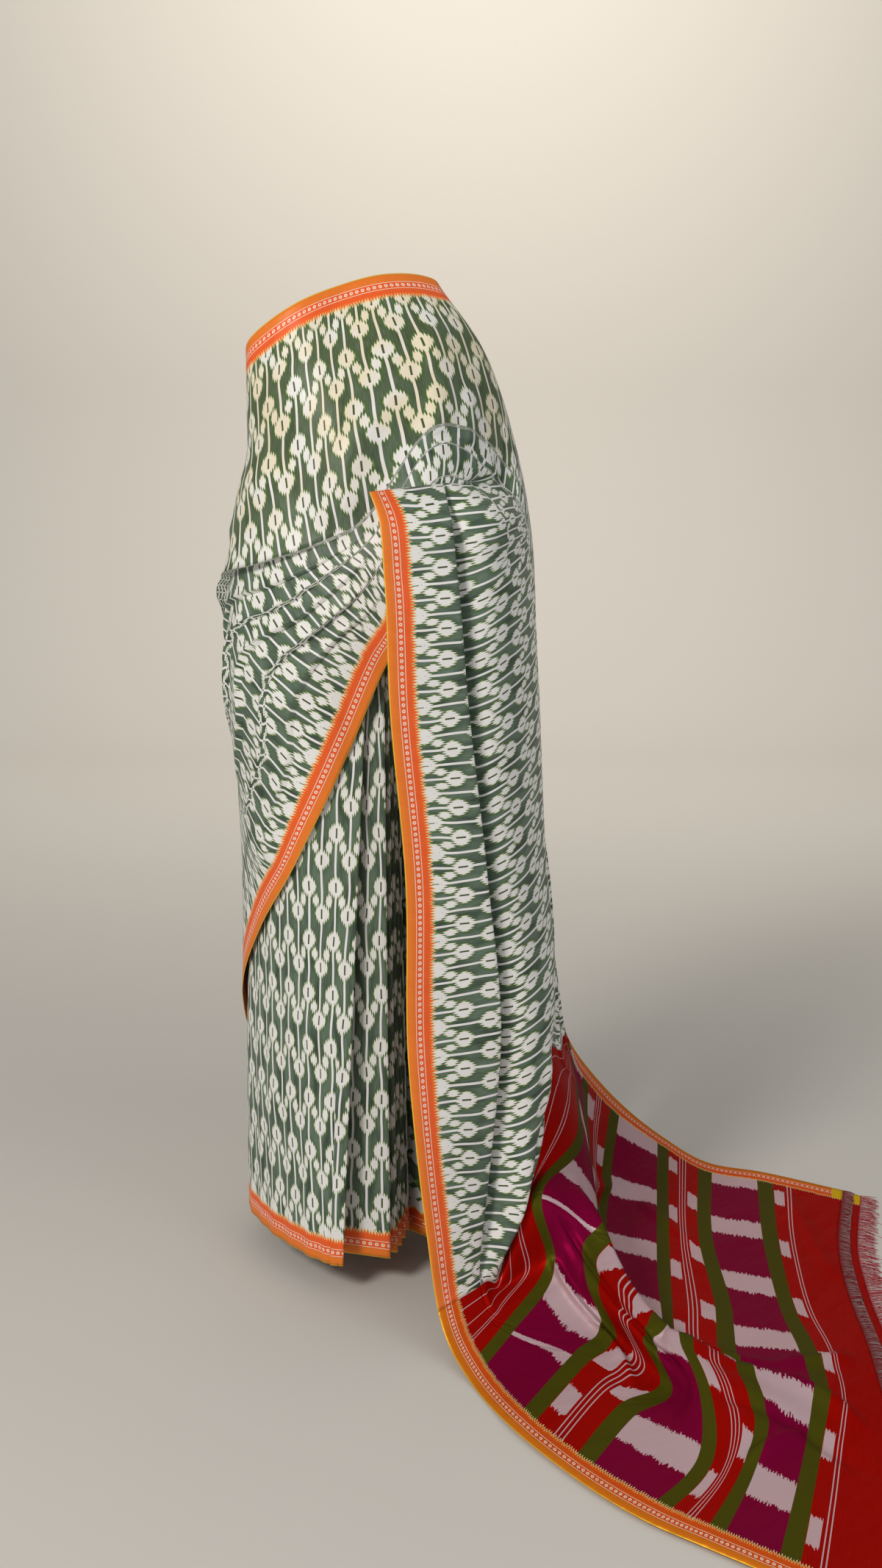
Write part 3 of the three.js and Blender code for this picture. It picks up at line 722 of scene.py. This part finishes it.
# The stretch of the back over which the cloth's top edge comes free of the waist.
TOP_FREED = (390, 955)
SHOULDER_END = 1884
SOFT_FOLDS = [
    # along and across at one end, at the other end, height, width on one side, on the other
    [1800, 0.13, 1775, 0.46, 9, 40, 12],
    [1835, 0.30, 1815, 0.50, 6, 14, 9],
    [1850, 0.34, 1862, 0.60, 5, 10, 8],
    [1240, 0.10, 1400, 0.30, 6, 34, 20],
    [1300, 0.24, 1500, 0.36, 5, 30, 22],
    [1620, 0.10, 1540, 0.34, 4, 34, 26],
    [1720, 0.24, 1640, 0.40, 4, 26, 20],
    [3230, 0.44, 3540, 0.69, 15, 11, 20],
    [3480, 0.66, 3860, 0.76, 14, 11, 20],
    [3240, 0.56, 3520, 0.76, -11, 15, 11],
    [3560, 0.78, 3860, 0.83, -7, 16, 12],
    [3180, 0.66, 3400, 0.84, 11, 9, 15],
    [3380, 0.52, 3560, 0.58, 6, 16, 10],
    [3560, 0.60, 3720, 0.67, 11, 17, 9],
    [3640, 0.88, 3760, 0.80, 7, 10, 18],
    [3700, 0.66, 3860, 0.62, 9, 11, 17],
    [3360, 0.30, 3480, 0.16, 7, 19, 11],
    [3500, 0.20, 3640, 0.30, 4, 24, 14],
    [3800, 0.06, 3890, 0.40, 4, 20, 12],
    [2700, 0.70, 2990, 0.62, 7, 14, 20],
    [2560, 0.58, 2900, 0.70, -6, 18, 12],
]
CHEST_STEP = 8
COLUMN_COUNT = 118


def window(along, first, last):
    """1 along most of a crease, and fading to 0 at both its ends."""
    return smooth(1.35 * (1 - abs(along - (first + last) / 2) / ((last - first) / 2)))


def creased(points, along, across):
    """Stands the cloth out towards each crease, where it laps over and drops back."""
    normal = normals_of(points)
    sideways = np.gradient(points, axis=1)
    sideways /= np.maximum(np.linalg.norm(sideways, axis=-1, keepdims=True), 1e-9)
    for place, first, last, height, width, lap, _ in CREASES:
        rise = np.where(across <= place + 1e-6, np.exp((across - place) / width), 0)
        rise = rise * window(along, first, last)
        points = points - normal * (height * rise)[..., None] + sideways * (lap * rise)[..., None]
    return points


def soft_folded(points, along, across):
    """Stands the cloth out along each soft fold, with one side steeper than the other."""
    normal = normals_of(points)
    x, y = np.broadcast_arrays(along, across * CLOTH_WIDTH)
    out = np.zeros(x.shape)
    for u0, t0, u1, t1, height, near, far in SOFT_FOLDS:
        start, way = np.array([u0, t0 * CLOTH_WIDTH]), np.array([u1 - u0, (t1 - t0) * CLOTH_WIDTH])
        share = np.clip(((x - start[0]) * way[0] + (y - start[1]) * way[1]) / (way @ way), 0, 1)
        off_x, off_y = x - start[0] - share * way[0], y - start[1] - share * way[1]
        side = np.where(off_x * way[1] - off_y * way[0] > 0, near, far)
        ends = smooth(np.minimum(share, 1 - share) * 4 + 0.15)
        out += height * ends * np.exp(-(off_x**2 + off_y**2) / side**2)
    return points - normal * out[..., None]


def across_cloth(points, along, across, hidden_top):
    """Place across the cloth, true to size between creases, with the rest hidden in them."""
    runs = np.linalg.norm(np.diff(points, axis=1), axis=-1)
    arc = np.concatenate([np.zeros((len(runs), 1)), np.cumsum(runs, axis=1)], 1)
    shown = CLOTH_WIDTH - hidden_top
    hidden = np.maximum(0, shown - arc[:, -1:])
    fall = smooth((along - FALL_STARTS) / (FALL_SETTLED - FALL_STARTS))
    steps, shares = [], []
    for place, *_, share in CREASES:
        steps.append(np.clip((across - place) / CREASE_DROP, 0, 1))
        shares.append(share * (1 - fall))
    for start, end, share in LAPS:
        steps.append(np.clip((across - start) / (end - start), 0, 1))
        shares.append(share * fall)
    jump = sum(step * share for step, share in zip(steps, shares)) / sum(shares)
    scale = np.minimum(1, shown / arc[:, -1:])
    return hidden_top + arc * scale + hidden * jump


def clear_of_skirt(points):
    """Moves points of the second round out, where they would come too near the first."""
    x, y, z = np.moveaxis(points, -1, 0)
    left, right, front, back, point = plan_at(np.maximum(z, WORN_PLAN[0][0]))
    power = 2 / np.where((x < 0) & (y < 0), point, 1)
    wide = abs(x) / (np.where(x > 0, right, left) + LAYER_GAP)
    deep = abs(y) / (np.where(y > 0, back, front) + LAYER_GAP)
    reach = np.maximum((wide**power + deep**power) ** (1 / power), 0.5)
    inside = np.maximum(0, 1 / reach - 1) * smooth((CLEAR_BELOW - z) / CLEAR_FADE)
    return points * np.stack([1 + inside, 1 + inside, np.ones_like(inside)], -1)


places = set(np.linspace(0, 1, COLUMN_COUNT).round(4))
for place, *_ in CREASES:
    places = {p for p in places if abs(p - place) > CREASE_DROP}
    places |= {place - CREASE_DROP, place, place + CREASE_DROP}
for start, end, _ in LAPS:
    for middle_t in np.linspace(start - LAP_MARGIN, end + LAP_MARGIN, LAP_COLUMNS).round(3):
        places |= {middle_t - LAP_FINE, middle_t, middle_t + LAP_FINE}
places = np.array(sorted(places))
last_edge = skirt_grid[-1]
start_row = np.stack([np.interp(places, [0, 1], last_edge[[0, -1], i]) for i in range(3)], -1)
start_row[:, 0] += ROUND_START_GAP
drape_rows = [(ROUND_START, start_row)]
for along, top_angle, top_z, low_angle, low_z in ROUND_SECTIONS:
    row = worn_round(mix(top_angle, low_angle, places), mix(top_z, low_z, places), LAYER_GAP)
    drape_rows.append((along, row))
for along, *stations in FRONT_SECTIONS:
    drape_rows.append((along, through(STATION_T, stations, places)))

# Fall
# From the shoulder and its side the cloth hangs to the floor: a straight panel in front
# beside its border, lapped over a deep fold, and a full side and back with long soft folds.
FALL_SECTIONS = [
    # along, back border, shoulder side, behind the gathers, under the fold,
    # below the gathers, panel fold, front border, tuck at the panel, tuck at the side
    [1884, [146, 12, 1503], [219, 5, 1390], [246, -10, 1262], [243, -25, 1230],
     [236, -45, 1212], [150, -165, 1210], [52, -255, 1200], 0, 0],
    [1924, [146, 60, 1483], [236, 50, 1360], [268, 0, 1230], [269, -25, 1200],
     [266, -50, 1180], [162, -215, 1172], [64, -270, 1167], 4, 0],
    [2004, [136, 120, 1410], [240, 105, 1300], [284, 30, 1170], [286, 0, 1135],
     [284, -30, 1110], [171, -236, 1090], [72, -278, 1085], 9, 0],
    [2184, [130, 170, 1220], [246, 130, 1130], [295, 40, 1000], [297, 5, 965],
     [296, -30, 940], [186, -240, 910], [79, -280, 905], 12, 2],
    [2434, [160, 200, 970], [262, 140, 880], [299, 40, 750], [301, 5, 712],
     [300, -30, 685], [214, -243, 660], [100, -284, 655], 13, 6],
    [2684, [235, 210, 720], [300, 100, 645], [318, -20, 540], [308, -55, 470],
     [302, -120, 430], [235, -250, 410], [103, -305, 405], 13, 8],
    [2834, [290, 200, 550], [320, 60, 510], [318, -60, 440], [297, -122, 372],
     [283, -180, 290], [222, -270, 250], [117, -336, 260], 10, 4],
    [2934, [320, 200, 440], [333, 30, 410], [312, -105, 375], [281, -176, 285],
     [257, -235, 175], [212, -295, 160], [130, -358, 160], 6, 0],
    [3034, [345, 200, 340], [343, 0, 315], [300, -145, 325], [272, -212, 205],
     [240, -284, 80], [205, -330, 70], [146, -385, 60], 0, 0],
]
RAIL_T = [0, 0.22, 0.38, 0.45, 0.54, 0.88, 1]
TUCK_T = 0.02
PANEL_TUCK_DEPTH = 5
PANEL_VALLEY = 16
SIDE_TUCK_DEPTH = 11
OPEN_STEP = 6
LAP_SLOPE = 0.06
FALL_STEP = 7
GREEN_END = 3034


def lapped(t, edge, before, after, overlap, deepest, valley=0):
    """Stations of a fold that laps over: back behind its edge, then on, by a deep valley."""
    edge, before, after = (np.array(p, float) for p in (edge, before, after))
    come = (edge - before)[:2] / np.linalg.norm((edge - before)[:2])
    go = (after - edge)[:2] / np.linalg.norm((after - edge)[:2])
    inward = np.array([-come[1], come[0]])
    depth = min(deepest, overlap)
    opened = OPEN_STEP * (1 - min(1, overlap / OPEN_STEP))
    slope = (after[2] - edge[2]) * LAP_SLOPE
    back = edge[:2] - come * overlap + go * opened + inward * depth
    onward = edge[:2] + go * (PANEL_TUCK_DEPTH + opened) + inward * (2 * depth + valley)
    ridge = edge[:2] + go * (PANEL_TUCK_DEPTH + opened + valley) + inward * depth
    return [
        *([(t - 3 * TUCK_T, [*ridge, edge[2] + 3 * slope])] if valley else []),
        (t - 2 * TUCK_T, [*onward, edge[2] + 2 * slope]),
        (t - TUCK_T, [*back, edge[2] + slope]),
        (t, list(edge)),
    ]


fall_rows = []
for along, back, shoulder, behind, under, below, fold, front, panel_tuck, side_tuck in FALL_SECTIONS:
    side = lapped(RAIL_T[4], below, fold, under, side_tuck, SIDE_TUCK_DEPTH)
    valley = PANEL_VALLEY * min(1, panel_tuck / PANEL_TUCK_DEPTH)
    panel = lapped(RAIL_T[5], fold, front, below, panel_tuck, PANEL_TUCK_DEPTH, valley)
    rails = [*zip(RAIL_T[:4], (back, shoulder, behind, under)), *side, *panel, (RAIL_T[6], front)]
    fall_rows.append((along, through([r[0] for r in rails], [r[1] for r in rails], places)))

# Trailing end
# The decorated end spreads over the floor in one large and several small folds. Its bands
# are woven in red, magenta and olive, with white blocks whose ends are feathered by the dye.
TRAIL_SECTIONS = [
    # along, then t, x, y, z from the back border to the front border
    [3183, [0, 368, 240, 262], [0.15, 373, 160, 240], [0.28, 375, 50, 215], [0.38, 368, -80, 190],
     [0.5, 296, -236, 182], [0.68, 312, -274, 76], [0.86, 244, -378, 30], [1, 186, -468, 6]],
    [3319, [0, 405, 262, 195], [0.18, 396, 130, 150], [0.35, 395, -60, 108], [0.5, 389, -240, 108],
     [0.6, 366, -290, 98], [0.66, 368, -335, 72],
      [0.76, 388, -385, 28], [0.86, 346, -433, 18], [1, 246, -598, 5]],
    [3424, [0, 475, 378, 85], [0.2, 432, 130, 32], [0.38, 412, -96, 24], [0.5, 430, -330, 30],
     [0.62, 446, -437, 62], [0.7, 434, -452, 50],
      [0.77, 455, -503, 16], [0.88, 392, -561, 10], [1, 312, -698, 5]],
    [3559, [0, 562, 370, 14], [0.26, 515, 3, 8], [0.5, 485, -261, 9], [0.62, 476, -385, 20],
     [0.7, 482, -478, 58], [0.78, 495, -563, 42], [0.88, 482, -668, 9], [1, 392, -790, 5]],
    [3659, [0, 625, 270, 8], [0.28, 577, -50, 8], [0.48, 570, -261, 8], [0.66, 550, -455, 18],
     [0.75, 558, -548, 46], [0.82, 561, -618, 31], [0.9, 527, -700, 9], [1, 456, -840, 5]],
    [3769, [0, 722, 222, 8], [0.32, 677, -100, 8], [0.5, 663, -297, 9], [0.61, 664, -413, 18],
     [0.74, 651, -552, 26], [0.82, 625, -634, 13], [0.93, 578, -775, 7], [1, 535, -900, 5]],
    [3902, [0, 845, 150, 6], [0.25, 786, -75, 6], [0.45, 764, -240, 8], [0.62, 750, -430, 14],
     [0.8, 718, -690, 8], [1, 640, -985, 5]],
]
WEAVE_END = 3902
TRAIL_STEP = 6
# How far the hanging side of the cloth has slipped along, so its lines rise to the back.
SKEW = 44

trail_rows = [
    (along, through([s[0] for s in stations], [s[1:] for s in stations], places))
    for along, *stations in TRAIL_SECTIONS
]
all_rows = drape_rows + fall_rows + trail_rows
knots = np.array([row[0] for row in all_rows], float)
stretches = [
    (ROUND_START, SHOULDER_END, CHEST_STEP),
    (SHOULDER_END, GREEN_END, FALL_STEP),
    (GREEN_END, WEAVE_END, TRAIL_STEP),
]
steps = [round((end - start) / step) for start, end, step in stretches]
cloth_u = np.concatenate([
    np.linspace(start, end, count)[:-1] for (start, end, _), count in zip(stretches, steps)
] + [[WEAVE_END]])
cloth = through(knots, np.array([row[1] for row in all_rows]), cloth_u)
turn = np.clip((cloth_u - FAN_MIDDLE) / FAN_HALF, -1 - FAN_FADE, 1)
turn = np.where(turn < -1, -1 + smooth((-1 - turn) / FAN_FADE), turn)
turn *= smooth((1900 - cloth_u) / 120)
fan = smooth((places - FAN_TOP_T[0]) / FAN_TOP_T[1]) * smooth((FAN_LOW_T[0] - places) / FAN_LOW_T[1])
for i in np.flatnonzero(abs(turn) > 0):
    cloth[i] = through(places, cloth[i], places - FAN_TURN * FAN_HALF * turn[i] * fan)
over_skirt = (cloth_u > ROUND_START) & (cloth_u < SHOULDER_END)
cloth[over_skirt] = clear_of_skirt(cloth[over_skirt])
hidden_top = np.interp(cloth_u, TOP_FREED, [CLOTH_WIDTH - (WAIST - HEM), 0])[:, None]
cloth_v = across_cloth(cloth, cloth_u[:, None], places[None, :], hidden_top)
cloth = soft_folded(cloth, cloth_u[:, None], places[None, :])
cloth = creased(cloth, cloth_u[:, None], places[None, :])
skew = SKEW * smooth((cloth_u - 1890) / 120) * smooth((3010 - cloth_u) / 420)
hanging_side = smooth((0.865 - places) / 0.30) * smooth(places / 0.40)
skewed_u = cloth_u[:, None] + skew[:, None] * hanging_side
cloth_normal = normals_of(cloth)

PALLU_RED = "#9a0c06"
PALLU_MAGENTA = "#7c0736"
PALLU_OLIVE = "#4c4c12"
PALLU_WHITE = "#c6abb2"
OLIVE_BANDS = [149, 285, 390, 525, 625, 735]
OLIVE_HALF = 14
MAGENTA_BANDS = [(163, 271, 75), (404, 511, 30), (639, 721, 45)]
WHITE_LINES = [22, 60, 92, 99, 333, 340, 347, 568, 575, 582, 774, 780]
LINE_HALF_IN_RED = 0.9
BLOCK_PITCH = 195
BLOCK_HALF = 30
FEATHER_THREAD = 1.3
FEATHER = 7
RED_STREAK = "#bb1408"
RED_END_BORDER = ("#d9801f", "#dc5c1c")
CORNER_START = 850
CORNER_YELLOW = "#d6b01c"
SMALL_BLOCKS = [(300, 328, 0), (352, 376, 0.5), (540, 562, 0), (588, 611, 0.5), (750, 768, 0)]


def pallu_paint(tree, u, v):
    """Bands across the cloth, with white blocks and thin lines, inside the two borders."""
    w = u - GREEN_END
    feather = chance(tree, u * (1 / FEATHER_THREAD), 11) * FEATHER - FEATHER / 2
    feather = feather + (cloud(tree, u, v, 0.12, 0.02) * (2 * FEATHER) - FEATHER)
    streak = cloud(tree, u, v, 1.2, 0.02, 1)
    result = painted(tree, PALLU_RED, streak.ramp(0.4, 0.8) * 0.35, RED_STREAK)
    for low, high, shift in MAGENTA_BANDS:
        inside = w.over(low) * w.under(high)
        result = painted(tree, result, inside, PALLU_MAGENTA)
        beat = abs((v + feather + shift).each(BLOCK_PITCH) - BLOCK_PITCH / 2)
        result = painted(tree, result, inside * beat.under(BLOCK_HALF), PALLU_WHITE)
    for low, high, shift in SMALL_BLOCKS:
        inside = w.over(low) * w.under(high)
        beat = abs((v + feather + shift * BLOCK_PITCH).each(BLOCK_PITCH) - BLOCK_PITCH / 2)
        result = painted(tree, result, inside * beat.under(BLOCK_HALF - 2), PALLU_WHITE)
    for middle_of_band in OLIVE_BANDS:
        band = abs(w - middle_of_band).under(OLIVE_HALF)
        result = painted(tree, result, band, PALLU_OLIVE)
    for place in WHITE_LINES:
        result = painted(tree, result, abs(w - place).under(LINE_HALF_IN_RED), PALLU_WHITE)
    result = border_paint(tree, result, u, v, *RED_END_BORDER)
    return painted(tree, result, w.over(CORNER_START) * v.under(BORDER + 3), CORNER_YELLOW)


pallu_silk = silk_material("pallu_silk", pallu_paint, 0.02, 0.40, "#8a2430")
ridge = steps[0] - 1
green_end = ridge + steps[1] - 1
pieces_of_cloth = {
    "front_drape": (slice(0, ridge + 1), ikat_silk, "ikat_silk"),
    "shoulder_pallu": (slice(ridge, green_end + 1), ikat_silk, "ikat_silk"),
    "pallu_trail": (slice(green_end, None), pallu_silk, "pallu_silk"),
}
draped = {}
for piece_name, (rows, material, slot) in pieces_of_cloth.items():
    draped[piece_name] = cloth_object(
        piece_name + "_silk", cloth[rows], cloth_normal[rows], skewed_u[rows], cloth_v[rows], material
    )
    if piece_name != "pallu_trail":
        declare_cloth(draped[piece_name], piece_name, slot, cloth[rows])

# Fringe
# Past the weave a band of bare lengthwise threads shows, then a narrow woven red strip,
# and then a ragged fringe of loose ends that lie on the floor.
BARE_BAND = 19
STRIP_END = 31
STRIP_SINK = 3
LOWEST = 1.2
LOWEST_THREAD = 0.6
THREAD_SEGMENTS = 5
THREAD_SIDES = 3
THREAD_BEND = (0.55, 0.10, 0.04)
THREAD_ROUGHNESS = 0.5
THREAD_SHINE = 0.08
THREADS = {
    # name: starts past the weave, count, length, lean, thickness, seed, colour
    "bare_threads": (-1, 740, 21, 0.10, 0.42, 5, "#7e2c33"),
    "loose_ends": (30, 560, 33, 0.42, 0.38, 9, "#a81c33"),
    "long_ends": (30, 26, 62, 0.9, 0.30, 14, "#b3202a"),
}

end_row, before_end = cloth[-1], cloth[-4]
away = (end_row - before_end) * [1, 1, 0]
away /= np.linalg.norm(away, axis=1, keepdims=True)


def past_weave(distance):
    """The line across the cloth at a distance past its weave, in millimetres."""
    line = end_row + away * distance
    line[:, 2] = np.maximum(LOWEST, end_row[:, 2] - STRIP_SINK * smooth(distance / STRIP_END))
    return line


def thread_group():
    """Node group that grows bent threads from a line, each turned a little its own way."""
    tree = bpy.data.node_groups.new("threads", "GeometryNodeTree")
    face = tree.interface
    face.new_socket("Line", in_out="INPUT", socket_type="NodeSocketGeometry")
    for name, kind in (
        ("Count", "NodeSocketInt"), ("Length", "NodeSocketFloat"), ("Lean", "NodeSocketFloat"),
        ("Thickness", "NodeSocketFloat"), ("Seed", "NodeSocketInt"), ("Material", "NodeSocketMaterial"),
    ):
        face.new_socket(name, in_out="INPUT", socket_type=kind)
    face.new_socket("Threads", in_out="OUTPUT", socket_type="NodeSocketGeometry")
    add, link = tree.nodes.new, tree.links.new
    given, result = add("NodeGroupInput"), add("NodeGroupOutput")

    def calc(operation, a, b):
        node = add("ShaderNodeMath")
        node.operation = operation
        for socket, value in zip(node.inputs, (a, b)):
            if hasattr(value, "links"):
                link(value, socket)
            else:
                socket.default_value = value
        return node.outputs[0]

    def vector(x, y, z):
        node = add("ShaderNodeCombineXYZ")
        for socket, value in zip(node.inputs, (x, y, z)):
            if hasattr(value, "links"):
                link(value, socket)
            else:
                socket.default_value = value
        return node.outputs[0]

    length = given.outputs["Length"]
    bend = add("GeometryNodeCurveQuadraticBezier")
    bend.inputs["Resolution"].default_value = THREAD_SEGMENTS
    bend.inputs["Start"].default_value = (0, 0, 0)
    middle = [calc("MULTIPLY", length, share) for share in THREAD_BEND]
    link(vector(*middle), bend.inputs["Middle"])
    link(vector(length, 0, calc("MULTIPLY", length, -THREAD_BEND[2])), bend.inputs["End"])
    ring = add("GeometryNodeCurvePrimitiveCircle")
    ring.inputs["Resolution"].default_value = THREAD_SIDES
    link(given.outputs["Thickness"], ring.inputs["Radius"])
    tube = add("GeometryNodeCurveToMesh")
    link(bend.outputs[0], tube.inputs["Curve"])
    link(ring.outputs["Curve"], tube.inputs["Profile Curve"])
    curve = add("GeometryNodeMeshToCurve")
    link(given.outputs["Line"], curve.inputs["Mesh"])
    roots = add("GeometryNodeCurveToPoints")
    roots.mode = "COUNT"
    link(curve.outputs[0], roots.inputs["Curve"])
    link(given.outputs["Count"], roots.inputs["Count"])
    outward = add("GeometryNodeInputNamedAttribute")
    outward.data_type = "FLOAT_VECTOR"
    outward.inputs["Name"].default_value = "away"
    facing = add("FunctionNodeAlignRotationToVector")
    facing.axis = "X"
    link(outward.outputs[0], facing.inputs["Vector"])
    placed = add("GeometryNodeInstanceOnPoints")
    link(roots.outputs["Points"], placed.inputs["Points"])
    link(tube.outputs[0], placed.inputs["Instance"])
    link(facing.outputs[0], placed.inputs["Rotation"])
    lean = given.outputs["Lean"]
    turn_by = add("FunctionNodeRandomValue")
    turn_by.data_type = "FLOAT_VECTOR"
    link(vector(-0.7, -0.05, calc("MULTIPLY", lean, -1)), turn_by.inputs[0])
    link(vector(0.7, 0.05, lean), turn_by.inputs[1])
    link(given.outputs["Seed"], turn_by.inputs["Seed"])
    turned = add("GeometryNodeRotateInstances")
    link(placed.outputs[0], turned.inputs["Instances"])
    link(turn_by.outputs[0], turned.inputs["Rotation"])
    long_by = add("FunctionNodeRandomValue")
    long_by.data_type = "FLOAT_VECTOR"
    long_by.inputs[0].default_value = (0.78, 0.9, 0.9)
    long_by.inputs[1].default_value = (1.06, 1.1, 1.1)
    link(given.outputs["Seed"], long_by.inputs["Seed"])
    scaled = add("GeometryNodeScaleInstances")
    link(turned.outputs[0], scaled.inputs["Instances"])
    link(long_by.outputs[0], scaled.inputs["Scale"])
    real = add("GeometryNodeRealizeInstances")
    link(scaled.outputs[0], real.inputs[0])
    coloured = add("GeometryNodeSetMaterial")
    link(real.outputs[0], coloured.inputs["Geometry"])
    link(given.outputs["Material"], coloured.inputs["Material"])
    link(coloured.outputs[0], result.inputs[0])
    return tree


def thread_silk(name, tint):
    """Loose silk thread with hardly any white shine."""
    material = bpy.data.materials.new(name)
    material.use_nodes = True
    shader = material.node_tree.nodes["Principled BSDF"]
    shader.inputs["Base Color"].default_value = colour(tint)
    shader.inputs["Roughness"].default_value = THREAD_ROUGHNESS
    shader.inputs["Specular IOR Level"].default_value = THREAD_SHINE
    return material


threads = thread_group()
fringe_pieces = []
for name, (start, count, length, lean, thickness, seed, tint) in THREADS.items():
    root_line = (past_weave(start) - [0, 0, WAIST]) * MM
    mesh = bpy.data.meshes.new(name + "_line")
    mesh.from_pydata(root_line.tolist(), [(i, i + 1) for i in range(len(root_line) - 1)], [])
    outward = mesh.attributes.new("away", "FLOAT_VECTOR", "POINT")
    outward.data.foreach_set("vector", away.ravel().astype(np.float32))
    maker = bpy.data.objects.new(name + "_maker", mesh)
    scene.collection.objects.link(maker)
    grow = maker.modifiers.new("threads", "NODES")
    grow.node_group = threads
    sockets = {item.name: item.identifier for item in threads.interface.items_tree}
    for key, value in (
        ("Count", count), ("Length", length * MM), ("Lean", lean), ("Thickness", thickness * MM),
        ("Seed", seed), ("Material", thread_silk(name + "_silk", tint)),
    ):
        grow[sockets[key]] = value
    shown = maker.evaluated_get(bpy.context.evaluated_depsgraph_get())
    grown = bpy.data.meshes.new_from_object(shown)
    points = np.empty(len(grown.vertices) * 3, np.float32)
    grown.vertices.foreach_get("co", points)
    points = points.reshape(-1, 3)
    points[:, 2] = np.maximum(points[:, 2], FLOOR_Z + LOWEST_THREAD * MM)
    grown.vertices.foreach_set("co", points.ravel())
    bpy.data.objects.remove(maker)
    piece = bpy.data.objects.new(name, grown)
    scene.collection.objects.link(piece)
    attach(piece, "root")
    fringe_pieces.append(piece)

strip_lines = np.linspace(BARE_BAND, STRIP_END, 5)
strip_grid = np.stack([past_weave(distance) for distance in strip_lines])
strip = cloth_object(
    "red_strip", strip_grid, normals_of(strip_grid),
    WEAVE_END + strip_lines[:, None], cloth_v[-1][None, :], pallu_silk
)
fringe_pieces.append(strip)
for piece in fringe_pieces:
    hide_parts("pallu_fringe")
declare_cloth(
    draped["pallu_trail"], "pallu_trail", "pallu_silk", cloth[pieces_of_cloth["pallu_trail"][0]],
    with_pieces=fringe_pieces,
)
